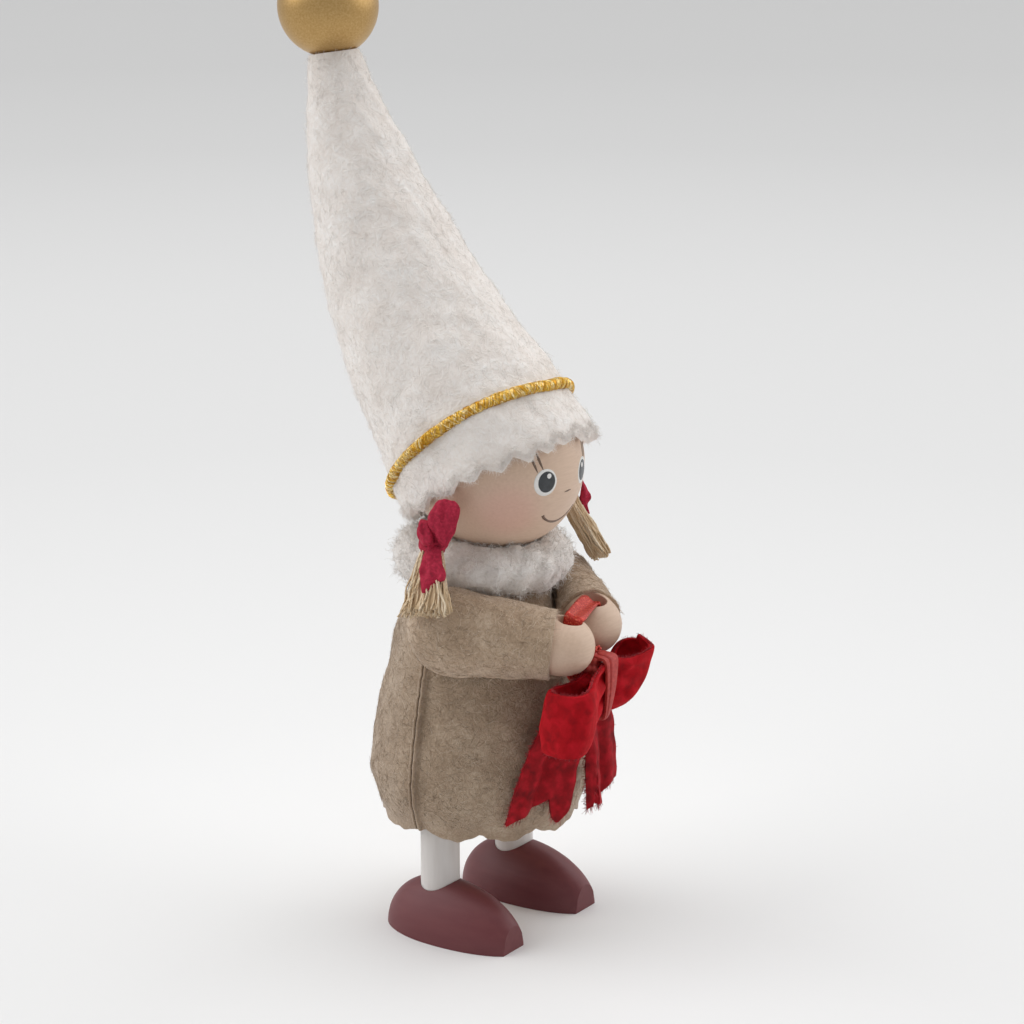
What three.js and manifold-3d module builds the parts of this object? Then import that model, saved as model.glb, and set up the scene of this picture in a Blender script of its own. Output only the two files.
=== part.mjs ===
// A Christmas gnome girl: a wooden doll dressed in wool felt, on egg-shaped wooden shoes.
// Millimetres, +Z up. She faces -Y, so her right hand is on the -X side.
// Sizes stack from the ground up: shoes, legs, coat, collar, head, hat and bead.

import * as THREE from "three";
import { mergeVertices } from "three/addons/utils/BufferGeometryUtils.js";
import Module from "manifold-3d";

const wasm = await Module();
wasm.setup();

// Clearance that every piece keeps from its neighbour
const GAP = 0.3;

// Shoes: half eggs, flat at the sole and sawn off square at the toe
const SHOE_HALF_WIDTH = 6.1;
const SHOE_HEIGHT = 9.3;
const SHOE_HEEL_LENGTH = 10.5;
const SHOE_TOE_LENGTH = 15.5;
const SHOE_SAWN_AT = 13.6;
const SHOE_AHEAD_OF_LEG = 1;
const SOLE_THICKNESS = 2.6;

// Legs: dowels glued into the shoes and into the body
const LEG_RADIUS = 3.2;
const LEG_SPACING = 20.6;
const LEG_SHOWN = 10.3;
const LEG_DEPTH_IN_BODY = 9;

// Coat: a front and a back panel of felt, joined by two raised side seams
const COAT_LENGTH = 38.3;
const COAT_FELT = 1.4;
const HEM_RADIUS = 16.2;
const BELLY_RADIUS = 17.9;
const BELLY_ABOVE_HEM = 8.4;
const CHEST_RADIUS = 15.1;
const CHEST_ABOVE_HEM = 24.4;
const NECKLINE_RADIUS = 11;
const SEAM_ALLOWANCE = 0.8;
const SCALLOPS_PER_PANEL = 5;
const SCALLOP_DEPTH = 1.3;

// Body: one turned piece of wood that fills the coat
const BODY_AHEAD_OF_LEGS = 0.6;
const BODY_ABOVE_HEM = 2;
const BODY_EDGE = 2.6;

// Neck peg and fur collar
const NECK_PEG_RADIUS = 2.2;
const NECK_PEG_DEPTH_IN_BODY = 10;
const NECK_PEG_DEPTH_IN_HEAD = 9;
const COLLAR_SHOWN = 6.1;
const COLLAR_OUTER_RADIUS = 14.2;
const COLLAR_INNER_RADIUS = 5;
const COLLAR_HEIGHT = 7.6;
const COLLAR_AHEAD_OF_BODY = 1;
const COLLAR_TUFTS = 9;
const COLLAR_TUFT_DEPTH = 0.35;

// Head: a wooden ball
const HEAD_RADIUS = 14;
const HEAD_AHEAD_OF_BODY = 3.46;

// Hat: a felt cone that curves back from the head, with a pinked edge and a stiffening wire
const HAT_FELT = 1.25;
const HAT_LOOSENESS = 0.3;
const HAT_BRIM_LENGTH = 7.4;
const HAT_HEM_TILT = 30;
const HAT_LEAN_AT_HEAD = 35;
const HAT_LEAN_AT_BEAD = 7;
const HAT_STEEPER_ABOVE_HEAD = 5;
const HAT_STRAIGHT_SHARE = 0.36;
const HAT_RISE = 70;
const HAT_THROW = 33.2;
const HAT_TIP_RADIUS = 4;
const HAT_BULGE = 1.5;
const HAT_TEETH = 20;
const HAT_TOOTH_DEPTH = 1.9;
const BAND_ABOVE_HEAD_CENTRE = 4.5;
const BAND_RADIUS = 0.8;
const HAT_WIRE_RADIUS = 1;
const HAT_WIRE_DEPTH_IN_HEAD = 7;
const HAT_WIRE_DEPTH_IN_BEAD = 8;
const BEAD_RADIUS = 8.1;

// Arms: one wire through the body, felt sleeves, and round-ended wooden hands
const SHOULDER_BELOW_NECKLINE = 4;
const ARM_WIRE_RADIUS = 0.9;
const ELBOW_OUT = 14.8;
const ELBOW_AHEAD = 5.2;
const ELBOW_HALF_WIDTH = 5.4;
const ELBOW_HALF_HEIGHT = 7;
const ELBOW_BACK = 6.8;
const SLEEVE_SEAM = 0.6;
const ELBOW_CAP_START = 0.12;
const CUFF_RADIUS = 5.4;
const HAND_RADIUS = 4.8;
const HAND_SHANK = 1.4;
const HAND_TENON_RADIUS = 2.5;
const HAND_TENON_LENGTH = 3.2;
const HAND_HOLE_RADIUS = 2.1;
const HAND_HOLE_FROM_CUFF = 2.4;
const HAND_HOLE_AHEAD_OF_ROUND = 0.69;
const HAND_OUT = 5.5;
const RIGHT_HAND_AHEAD = 21.4;
const LEFT_HAND_AHEAD = 18.6;
const HAND_BELOW_SHOULDER = 2;
const ARM_LIFT = 10;

// Ribbon that runs through both hands and carries the bow
const HAND_RIBBON_WIDTH = 2.6;
const HAND_RIBBON_THICKNESS = 0.5;
const HAND_RIBBON_GATHERED = 0.8;
const RIBBON_FULL_WIDTH_FROM = 0.3;
const RIBBON_GATHERED_TO = 0.2;
const RIBBON_TILT = 35;
const RIBBON_ABOVE_RIM = 0.75;
const RIBBON_ENTRY = { inside: 0.7, above_rim: -0.1 };
const RIBBON_IN_HOLE = { below_rim: 2.4, above_bottom: 1, back: 0.1 };
const RIBBON_UNDER_HAND = { inside: 1.1, back: 0.3 };
const RIBBON_CROSSING = { inside: 3.6, share: 0.35, back: 0.9, up: 0.5 };
const RIBBON_HANGER = { apart: 0.5, back: 1.4, down: 0.6 };
const RIBBON_END = { apart: 0.45, ahead: 1, up: 0.7 };

// Velvet bow
const VELVET_WIDTH = 10.4;
const VELVET_THICKNESS = 0.9;
const RIGHT_LOOP = { reach: 13.6, front: 4.2, back: 3, rise: -0.4, topDrop: 2, bottomRise: 0.8 };
const LEFT_LOOP = { reach: 10.4, front: 1.6, back: 2.6, rise: 1.6, topDrop: 0.5, bottomRise: 1.6 };
const BOW_PINCH = 0.65;
const BOW_GATHER = 2.1;
const BOW_GATHER_REACH = 3.5;
const BOW_DIP_UNDER_HANDS = 2.6;
const BOW_AHEAD = 24.1;
const BOW_TO_THE_RIGHT = 0.7;
const BOW_TOP_BELOW_HANDS = 3.2;
const BOW_LEAN = 9;
const WRAP_WIDTH = 3.4;
const WRAP_THICKNESS = 0.5;
const RIGHT_TAIL_DROP = 26.2;
const LEFT_TAIL_DROP = 24;
const TAIL_TEETH = 2;
const TAIL_TOOTH_DEPTH = 3.4;
const TAIL_BOWED_AHEAD = 0.7;

// Edges of the tails: each a start, a pull and an end, as [left, back, up] from the bow's top
const RIGHT_TAIL_EDGES = [
  [[-0.3, 0, -3], [-9.2, 3.8, -6], [-12, 7.8, -RIGHT_TAIL_DROP]],
  [[-0.3, 0, -7.8], [-2.4, -0.4, -13], [-3.4, 1.6, -RIGHT_TAIL_DROP]],
];
const LEFT_TAIL_EDGES = [
  [[1.3, 0, -3], [6.6, 1, -8.6], [6.8, 0, -LEFT_TAIL_DROP]],
  [[0.5, 0, -7.8], [-1, 0, -15], [-1.8, -1.4, -LEFT_TAIL_DROP]],
];

// Pigtails: flax bundles with a cloth tie, hanging from under the hat
const HAIR_ROOT_RADIUS = 1.4;
const HAIR_KNOT_RADIUS = 1.8;
const HAIR_END_HALF_WIDTH = 3.8;
const HAIR_END_HALF_DEPTH = 1.9;
const HAIR_FLARE = 0.8;
const TIE_THICKNESS = 1;
const TIE_WIDTH = 4.2;
const TIE_NARROW_SHARE = 0.55;
const TIE_CURL = 0.6;
const TIE_KNOT_FLATNESS = 0.8;
const TIE_UPPER_LENGTH = 8;
const TIE_UPPER_LEAN = 0.4;
const TIE_UPPER_SLANT = -0.6;
const TIE_LOWER_LENGTH = 8.5;
const TIE_LOWER_SLANT = 1.2;

// Pigtail places as [left, back, up] from the head's centre
const RIGHT_PIGTAIL = { root: [-14.9, -1.1, -5.6], knot: [-17, -0.1, -10], end: [-22, -2.4, -19.6] };
const LEFT_PIGTAIL = { root: [14.9, -2.4, -5.2], knot: [14.7, -4.9, -9.8], end: [17.9, -8.7, -16.8] };

// Places that follow from the sizes above
const legZ = SOLE_THICKNESS + GAP;
const hemZ = SHOE_HEIGHT + LEG_SHOWN;
const necklineZ = hemZ + COAT_LENGTH;
const bodyY = -BODY_AHEAD_OF_LEGS;
const coreBottomZ = hemZ + BODY_ABOVE_HEM;
const shoulder = new THREE.Vector3(0, bodyY, necklineZ - SHOULDER_BELOW_NECKLINE);
const headCentre = new THREE.Vector3(
  0,
  bodyY - HEAD_AHEAD_OF_BODY,
  necklineZ + COLLAR_SHOWN + HEAD_RADIUS,
);

// Roundness of the facets
const COARSE = 12;
const MEDIUM = 24;
const FINE = 32;

// Turns every triangle of a closed geometry to face out.
function facingOut(geometry) {
  const position = geometry.attributes.position;
  const index = geometry.index.array;
  const [a, b, c] = [new THREE.Vector3(), new THREE.Vector3(), new THREE.Vector3()];
  let volume = 0;
  for (let i = 0; i < index.length; i += 3) {
    a.fromBufferAttribute(position, index[i]);
    b.fromBufferAttribute(position, index[i + 1]);
    c.fromBufferAttribute(position, index[i + 2]);
    volume += a.dot(b.cross(c));
  }
  if (volume < 0) {
    for (let i = 0; i < index.length; i += 3) {
      [index[i + 1], index[i + 2]] = [index[i + 2], index[i + 1]];
    }
  }
  return geometry;
}

// Keeps positions only and joins vertices that coincide.
function welded(geometry) {
  const bare = geometry.clone();
  bare.deleteAttribute("normal");
  bare.deleteAttribute("uv");
  return facingOut(mergeVertices(bare, 1e-4));
}

function toSolid(geometry) {
  const bare = welded(geometry);
  return new wasm.Manifold(
    new wasm.Mesh({
      numProp: 3,
      vertProperties: new Float32Array(bare.attributes.position.array),
      triVerts: new Uint32Array(bare.index.array),
    }),
  );
}

function toGeometry(solid) {
  const mesh = solid.getMesh();
  const geometry = new THREE.BufferGeometry();
  geometry.setAttribute("position", new THREE.BufferAttribute(mesh.vertProperties, 3));
  geometry.setIndex(new THREE.BufferAttribute(mesh.triVerts, 1));
  return geometry;
}

function cut(geometry, ...tools) {
  return toGeometry(tools.reduce((body, tool) => body.subtract(toSolid(tool)), toSolid(geometry)));
}

function join(...geometries) {
  return toGeometry(geometries.map(toSolid).reduce((body, other) => body.add(other)));
}

// A body turned about Z from [radius, height] pairs.
function turned(profile, segments = MEDIUM) {
  const points = profile.map(([radius, height]) => new THREE.Vector2(radius, height));
  return new THREE.LatheGeometry(points, segments).rotateX(Math.PI / 2);
}

function ball(radius, centre, segments = MEDIUM) {
  const sphere = new THREE.SphereGeometry(radius, segments, Math.round(segments / 2));
  return sphere.rotateX(Math.PI / 2).translate(centre.x, centre.y, centre.z);
}

function block(low, high) {
  const size = high.clone().sub(low);
  const middle = low.clone().add(high).multiplyScalar(0.5);
  return new THREE.BoxGeometry(size.x, size.y, size.z).translate(middle.x, middle.y, middle.z);
}

// A straight round rod between two points.
function rod(radius, from, to, segments = MEDIUM) {
  const along = to.clone().sub(from);
  const geometry = new THREE.CylinderGeometry(radius, radius, along.length(), segments);
  const turn = new THREE.Quaternion().setFromUnitVectors(
    new THREE.Vector3(0, 1, 0),
    along.clone().normalize(),
  );
  const middle = from.clone().add(to).multiplyScalar(0.5);
  return geometry.applyQuaternion(turn).translate(middle.x, middle.y, middle.z);
}

// A flat section carried along a curve.
function swept(section, curve, steps) {
  return new THREE.ExtrudeGeometry(section, { steps, extrudePath: curve, bevelEnabled: false });
}

function circleSection(radius, sides) {
  const points = [];
  for (let i = 0; i < sides; i++) {
    const angle = (2 * Math.PI * i) / sides;
    points.push(new THREE.Vector2(radius * Math.cos(angle), radius * Math.sin(angle)));
  }
  return new THREE.Shape(points);
}

// Skins equal rings of points. Open lofts get a fan at each end, closed ones return to the start.
function loft(rings, returns = false) {
  const count = rings[0].length;
  const points = rings.flat();
  const index = [];
  const spans = returns ? rings.length : rings.length - 1;
  for (let row = 0; row < spans; row++) {
    const next = (row + 1) % rings.length;
    for (let i = 0; i < count; i++) {
      const j = (i + 1) % count;
      const [a, b, c, d] = [row * count + i, row * count + j, next * count + j, next * count + i];
      index.push(a, b, c, a, c, d);
    }
  }
  if (!returns) {
    for (const row of [0, rings.length - 1]) {
      const middle = new THREE.Vector3();
      rings[row].forEach((point) => middle.add(point));
      const hub = points.push(middle.divideScalar(count)) - 1;
      for (let i = 0; i < count; i++) {
        const [a, b] = [row * count + i, row * count + ((i + 1) % count)];
        index.push(...(row === 0 ? [hub, b, a] : [hub, a, b]));
      }
    }
  }
  const geometry = new THREE.BufferGeometry().setFromPoints(points);
  geometry.setIndex(index);
  return welded(geometry);
}

// A closed sheet between two equal grids of points.
function sheet(front, back) {
  const rows = front.length;
  const columns = front[0].length;
  const points = [...front.flat(), ...back.flat()];
  const index = [];
  const at = (side, row, column) => side * rows * columns + row * columns + column;
  const quad = (a, b, c, d) => index.push(a, b, c, a, c, d);
  for (let row = 0; row < rows - 1; row++) {
    for (let column = 0; column < columns - 1; column++) {
      const cell = [
        [row, column],
        [row, column + 1],
        [row + 1, column + 1],
        [row + 1, column],
      ];
      quad(...cell.map(([r, c]) => at(0, r, c)));
      quad(...cell.map(([r, c]) => at(1, r, c)).reverse());
    }
  }
  for (let row = 0; row < rows - 1; row++) {
    quad(at(0, row + 1, 0), at(1, row + 1, 0), at(1, row, 0), at(0, row, 0));
    const end = columns - 1;
    quad(at(0, row, end), at(1, row, end), at(1, row + 1, end), at(0, row + 1, end));
  }
  for (let column = 0; column < columns - 1; column++) {
    quad(at(0, 0, column), at(1, 0, column), at(1, 0, column + 1), at(0, 0, column + 1));
    const end = rows - 1;
    quad(at(0, end, column + 1), at(1, end, column + 1), at(1, end, column), at(0, end, column));
  }
  const geometry = new THREE.BufferGeometry().setFromPoints(points);
  geometry.setIndex(index);
  return welded(geometry);
}

// Gives a grid of points a thickness, half on each side of it.
function thickened(grid, thickness) {
  const rows = grid.length;
  const columns = grid[0].length;
  const offset = (row, column, side) => {
    const down = grid[Math.min(row + 1, rows - 1)][column]
      .clone()
      .sub(grid[Math.max(row - 1, 0)][column]);
    const across = grid[row][Math.min(column + 1, columns - 1)]
      .clone()
      .sub(grid[row][Math.max(column - 1, 0)]);
    const normal = across.cross(down).normalize();
    return grid[row][column].clone().addScaledVector(normal, (side * thickness) / 2);
  };
  const face = (side) => grid.map((line, row) => line.map((_, column) => offset(row, column, side)));
  return sheet(face(1), face(-1));
}

// Shoe: an egg of two half ellipsoids, cut flat under the sole and square at the toe.
function shoe() {
  const egg = new THREE.SphereGeometry(1, MEDIUM + 4, COARSE + 2);
  const position = egg.attributes.position;
  for (let i = 0; i < position.count; i++) {
    const along = position.getY(i);
    position.setXYZ(
      i,
      position.getX(i) * SHOE_HALF_WIDTH,
      along * (along > 0 ? SHOE_HEEL_LENGTH : SHOE_TOE_LENGTH) - SHOE_AHEAD_OF_LEG,
      position.getZ(i) * SHOE_HEIGHT,
    );
  }
  const reach = 2 * SHOE_TOE_LENGTH;
  const below = block(new THREE.Vector3(-reach, -reach, -reach), new THREE.Vector3(reach, reach, 0));
  const sawnY = -SHOE_AHEAD_OF_LEG - SHOE_SAWN_AT;
  const ahead = block(
    new THREE.Vector3(-reach, -reach, -reach),
    new THREE.Vector3(reach, sawnY, reach),
  );
  const hole = rod(
    LEG_RADIUS + GAP,
    new THREE.Vector3(0, 0, SOLE_THICKNESS),
    new THREE.Vector3(0, 0, SHOE_HEIGHT + LEG_RADIUS),
  );
  return cut(egg, below, ahead, hole);
}

function leg() {
  const top = coreBottomZ + LEG_DEPTH_IN_BODY - GAP;
  return rod(LEG_RADIUS, new THREE.Vector3(0, 0, legZ), new THREE.Vector3(0, 0, top));
}

// Outer radius of the coat at a height, from a spline through its four named radii.
const coatCurve = new THREE.SplineCurve([
  new THREE.Vector2(HEM_RADIUS, hemZ),
  new THREE.Vector2(BELLY_RADIUS, hemZ + BELLY_ABOVE_HEM),
  new THREE.Vector2(CHEST_RADIUS, hemZ + CHEST_ABOVE_HEM),
  new THREE.Vector2(NECKLINE_RADIUS, necklineZ),
]);

function coatRadius(z) {
  let [low, high] = [0, 1];
  while (high - low > 1e-5) {
    const middle = (low + high) / 2;
    if (coatCurve.getPoint(middle).y < z) low = middle;
    else high = middle;
  }
  return coatCurve.getPoint((low + high) / 2).x;
}

function heights(low, high, count) {
  return Array.from({ length: count + 1 }, (_, i) => low + ((high - low) * i) / count);
}

// The coat's outer form as a solid, grown by a margin, for the pieces that lie against it.
function coatForm(margin) {
  const outline = heights(hemZ, necklineZ, 7).map((z) => [coatRadius(z) + margin, z]);
  const form = turned([[0, hemZ - 1], [HEM_RADIUS, hemZ - 1], ...outline, [0, necklineZ]], MEDIUM);
  return form.translate(0, bodyY, 0);
}

// Hole for the arm wire, straight through the body and both side seams.
function wireHole() {
  const reach = new THREE.Vector3(BELLY_RADIUS + SEAM_ALLOWANCE, 0, 0);
  return rod(
    ARM_WIRE_RADIUS + GAP,
    shoulder.clone().sub(reach),
    shoulder.clone().add(reach),
    COARSE,
  );
}

// One coat panel. Its edges turn outwards at the side seams and its hem is scalloped.
function coatPanel(facing) {
  const perScallop = 4;
  const columns = SCALLOPS_PER_PANEL * perScallop;
  const rows = heights(0, 1, 6);
  const point = (row, column, depth) => {
    const share = column / columns;
    const lobe = Math.abs(Math.sin(Math.PI * share * SCALLOPS_PER_PANEL));
    const lowest = hemZ - SCALLOP_DEPTH * lobe + SCALLOP_DEPTH / 2;
    const z = THREE.MathUtils.lerp(lowest, necklineZ, row);
    const radius = coatRadius(z) - depth;
    const start = Math.asin((GAP / 2 + COAT_FELT - depth) / radius);
    const angle = THREE.MathUtils.lerp(start, Math.PI - start, share);
    return new THREE.Vector3(
      radius * Math.cos(angle),
      bodyY + facing * radius * Math.sin(angle),
      z,
    );
  };
  const face = (depth) =>
    rows.map((row) => {
      const line = Array.from({ length: columns + 1 }, (_, i) => point(row, i, depth));
      const lip = (corner, side) => {
        const tip = corner.clone();
        tip.x = side * (coatRadius(corner.z) + SEAM_ALLOWANCE);
        return tip;
      };
      return [lip(line[0], 1), ...line, lip(line[columns], -1)];
    });
  return cut(sheet(face(0), face(COAT_FELT)), wireHole());
}

// Body core: turned to the inside of the coat, drilled for legs, neck peg and arm wire.
function bodyCore() {
  const inset = COAT_FELT + GAP;
  const outline = heights(coreBottomZ + BODY_EDGE, necklineZ, 6).map((z) => [coatRadius(z) - inset, z]);
  const edge = coatRadius(coreBottomZ + BODY_EDGE) - inset;
  const core = turned(
    [[0, coreBottomZ], [edge - BODY_EDGE, coreBottomZ], ...outline, [0, necklineZ]],
    MEDIUM,
  ).translate(0, bodyY, 0);
  const legHoles = [-1, 1].map((side) =>
    rod(
      LEG_RADIUS + GAP,
      new THREE.Vector3((side * LEG_SPACING) / 2, 0, coreBottomZ - 1),
      new THREE.Vector3((side * LEG_SPACING) / 2, 0, coreBottomZ + LEG_DEPTH_IN_BODY),
    ),
  );
  return cut(core, ...legHoles, neckPegForm(GAP), wireHole());
}

// Neck peg: a dowel between the body and the head. Its holes are the same form, grown.
function neckPegForm(margin) {
  const bottom = necklineZ - NECK_PEG_DEPTH_IN_BODY - margin;
  const top = headCentre.z - HEAD_RADIUS + NECK_PEG_DEPTH_IN_HEAD + margin;
  return rod(
    NECK_PEG_RADIUS + margin,
    new THREE.Vector3(0, headCentre.y, bottom),
    new THREE.Vector3(0, headCentre.y, top),
    COARSE,
  );
}

// Fur collar: a soft ring with shallow tufts, hollowed where head and sleeves press into it.
function furCollar() {
  const ringRadius = (COLLAR_OUTER_RADIUS + COLLAR_INNER_RADIUS) / 2;
  const halfWidth = (COLLAR_OUTER_RADIUS - COLLAR_INNER_RADIUS) / 2;
  const centre = new THREE.Vector3(
    0,
    bodyY - COLLAR_AHEAD_OF_BODY,
    necklineZ + GAP + COLLAR_HEIGHT / 2,
  );
  const rings = Array.from({ length: FINE }, (_, i) => {
    const round = (2 * Math.PI * (i + 0.5)) / FINE;
    const tuft = COLLAR_TUFT_DEPTH * Math.sin(COLLAR_TUFTS * round);
    return Array.from({ length: COARSE - 2 }, (_, j) => {
      const turn = (2 * Math.PI * j) / (COARSE - 2);
      const radius = ringRadius + (halfWidth + tuft) * Math.cos(turn);
      return new THREE.Vector3(
        centre.x + radius * Math.cos(round),
        centre.y + radius * Math.sin(round),
        centre.z + (COLLAR_HEIGHT / 2) * Math.sin(turn),
      );
    });
  });
  const lifts = [0, ARM_LIFT];
  const sleeves = lifts.flatMap((lift) => arms.map((arm) => lifted(sleeveForm(arm, GAP), lift)));
  return cut(loft(rings, true), ball(HEAD_RADIUS + GAP, headCentre, FINE), neckPegForm(GAP), ...sleeves);
}

// Hat: rings along a curve that leaves the head at one lean and meets the bead at another.
const leaning = (degrees) => {
  const angle = THREE.MathUtils.degToRad(degrees);
  return new THREE.Vector3(0, Math.sin(angle), Math.cos(angle));
};
const beadCentre = headCentre.clone().add(new THREE.Vector3(0, HAT_THROW, HAT_RISE));
const hatPull = HAT_STRAIGHT_SHARE * Math.hypot(HAT_THROW, HAT_RISE);
const hatCurve = new THREE.CubicBezierCurve3(
  headCentre,
  headCentre.clone().addScaledVector(leaning(HAT_LEAN_AT_HEAD + HAT_STEEPER_ABOVE_HEAD), hatPull),
  beadCentre.clone().addScaledVector(leaning(HAT_LEAN_AT_BEAD), -hatPull),
  beadCentre,
);
hatCurve.arcLengthDivisions = 400;
const hatCurveLength = hatCurve.getLength();
const tipFromBead = Math.sqrt((BEAD_RADIUS + GAP) ** 2 - (HAT_TIP_RADIUS - HAT_FELT) ** 2);
const hatTipAt = hatCurveLength - tipFromBead;
const hemAt = BAND_ABOVE_HEAD_CENTRE - HAT_BRIM_LENGTH;
const hatHeadRadius = HEAD_RADIUS + GAP + HAT_LOOSENESS + HAT_FELT;

function hatRadius(at) {
  if (at < BAND_ABOVE_HEAD_CENTRE) return Math.sqrt(hatHeadRadius ** 2 - Math.min(0, at) ** 2);
  const share = (at - BAND_ABOVE_HEAD_CENTRE) / (hatTipAt - BAND_ABOVE_HEAD_CENTRE);
  const straight = THREE.MathUtils.lerp(hatHeadRadius, HAT_TIP_RADIUS, share);
  return straight + HAT_BULGE * Math.sin(Math.PI * share);
}

// Place and direction of the hat's centre line, measured from the head's centre.
function hatStation(at) {
  const back = leaning(HAT_LEAN_AT_HEAD);
  if (at <= 0) return { centre: headCentre.clone().addScaledVector(back, at), axis: back };
  const share = Math.min(at / hatCurveLength, 1);
  return { centre: hatCurve.getPointAt(share), axis: hatCurve.getTangentAt(share) };
}

// One ring of the hat's skin, set in from the outside. A drop lowers a point and draws it to the head.
function hatRing(at, inset, count, drop = () => 0) {
  const { centre, axis } = hatStation(at);
  const side = new THREE.Vector3(1, 0, 0);
  const rear = side.clone().cross(axis).negate();
  return Array.from({ length: count }, (_, i) => {
    const angle = (2 * Math.PI * i) / count;
    const radius = hatRadius(at - drop(i)) - inset;
    return centre
      .clone()
      .addScaledVector(side, radius * Math.cos(angle))
      .addScaledVector(rear, radius * Math.sin(angle))
      .addScaledVector(axis, -drop(i));
  });
}

function hat() {
  const count = 2 * HAT_TEETH;
  const lessTilt = Math.tan(THREE.MathUtils.degToRad(HAT_LEAN_AT_HEAD - HAT_HEM_TILT));
  const tooth = (i) => {
    const towardRear = hatHeadRadius * Math.sin((2 * Math.PI * i) / count);
    return (i % 2 ? 0 : HAT_TOOTH_DEPTH) - lessTilt * towardRear;
  };
  const stops = [0, ...heights(BAND_ABOVE_HEAD_CENTRE, hatTipAt, 8)];
  const edge = hemAt + HAT_TOOTH_DEPTH;
  const skin = (inset) => [
    hatRing(edge, inset, count, tooth),
    ...stops.map((at) => hatRing(at, inset, count)),
  ];
  return loft([...skin(0), ...skin(HAT_FELT).reverse()], true);
}

// The wire's route is the hat's own centre line, from inside the head to inside the bead.
function hatWireForm(margin) {
  const start = HEAD_RADIUS - HAT_WIRE_DEPTH_IN_HEAD - margin;
  const finish = hatCurveLength - BEAD_RADIUS + HAT_WIRE_DEPTH_IN_BEAD + margin;
  const route = new THREE.CatmullRomCurve3(
    heights(start, finish, 10).map((at) => hatCurve.getPointAt(Math.min(at / hatCurveLength, 1))),
  );
  return swept(circleSection(HAT_WIRE_RADIUS + margin, 8), route, 16);
}

// Wadding that keeps the hat full, hollowed by the head and bored for the wire.
function hatWadding() {
  const stops = heights(BAND_ABOVE_HEAD_CENTRE + HAT_FELT, hatTipAt - HAT_TIP_RADIUS, 6);
  const rings = stops.map((at) => hatRing(at, HAT_FELT + 2 * GAP, MEDIUM));
  return cut(loft(rings), ball(HEAD_RADIUS + 2 * GAP, headCentre, MEDIUM), hatWireForm(GAP));
}

// Tinsel cord round the hat.
function hatBand() {
  const { centre, axis } = hatStation(BAND_ABOVE_HEAD_CENTRE);
  const radius = hatRadius(BAND_ABOVE_HEAD_CENTRE) + BAND_RADIUS + GAP;
  const torus = new THREE.TorusGeometry(radius, BAND_RADIUS, 8, FINE + 8);
  const turn = new THREE.Quaternion().setFromUnitVectors(new THREE.Vector3(0, 0, 1), axis);
  return torus.applyQuaternion(turn).translate(centre.x, centre.y, centre.z);
}

function head() {
  const ballForm = ball(HEAD_RADIUS, headCentre, FINE);
  return cut(ballForm, neckPegForm(GAP), hatWireForm(GAP));
}

function hatBead() {
  return cut(ball(BEAD_RADIUS, beadCentre, MEDIUM), hatWireForm(GAP));
}

// Each arm: its elbow, its hand's ribbon hole, and the line between them.
const arms = [
  { side: -1, ahead: RIGHT_HAND_AHEAD },
  { side: 1, ahead: LEFT_HAND_AHEAD },
].map(({ side, ahead }) => {
  const elbow = shoulder.clone().add(new THREE.Vector3(side * ELBOW_OUT, -ELBOW_AHEAD, 0));
  const hole = shoulder.clone().add(new THREE.Vector3(side * HAND_OUT, -ahead, -HAND_BELOW_SHOULDER));
  const line = hole.clone().sub(elbow);
  const forward = line.clone().normalize();
  const outward = new THREE.Vector3(0, 0, 1).cross(forward).multiplyScalar(side).normalize();
  const upward = forward.clone().cross(outward).multiplyScalar(side).normalize();
  const cuff = hole.clone().addScaledVector(forward, -HAND_HOLE_FROM_CUFF);
  return { side, elbow, hole, forward, outward, upward, cuff, length: elbow.distanceTo(cuff) };
});

// Turns a shape about the arm wire's straight middle.
function lifted(geometry, degrees) {
  return geometry
    .clone()
    .translate(0, -shoulder.y, -shoulder.z)
    .rotateX(THREE.MathUtils.degToRad(-degrees))
    .translate(0, shoulder.y, shoulder.z);
}

// Sleeve outline: a rounded elbow that tapers to the cuff, with its seam along the underside.
function sleeveForm(arm, margin) {
  const back = ELBOW_BACK + margin;
  const capAngles = heights(ELBOW_CAP_START, 1, 4).map((share) => (share * Math.PI) / 2);
  const cap = capAngles.map((angle) => [-back * Math.cos(angle), Math.sin(angle), 0]);
  const forearm = heights(0, arm.length + margin, 5)
    .slice(1)
    .map((along) => [along, 1, Math.min(along / arm.length, 1)]);
  const rings = [...cap, ...forearm].map(([along, scale, taper]) => {
    const width = scale * (THREE.MathUtils.lerp(ELBOW_HALF_WIDTH, CUFF_RADIUS, taper) + margin);
    const height = scale * (THREE.MathUtils.lerp(ELBOW_HALF_HEIGHT, CUFF_RADIUS, taper) + margin);
    return Array.from({ length: MEDIUM }, (_, i) => {
      const angle = (2 * Math.PI * i) / MEDIUM;
      const seam = i === (3 * MEDIUM) / 4 ? scale * SLEEVE_SEAM : 0;
      return arm.elbow
        .clone()
        .addScaledVector(arm.forward, along)
        .addScaledVector(arm.outward, width * Math.cos(angle))
        .addScaledVector(arm.upward, (height + seam) * Math.sin(angle));
    });
  });
  return loft(rings);
}

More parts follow.
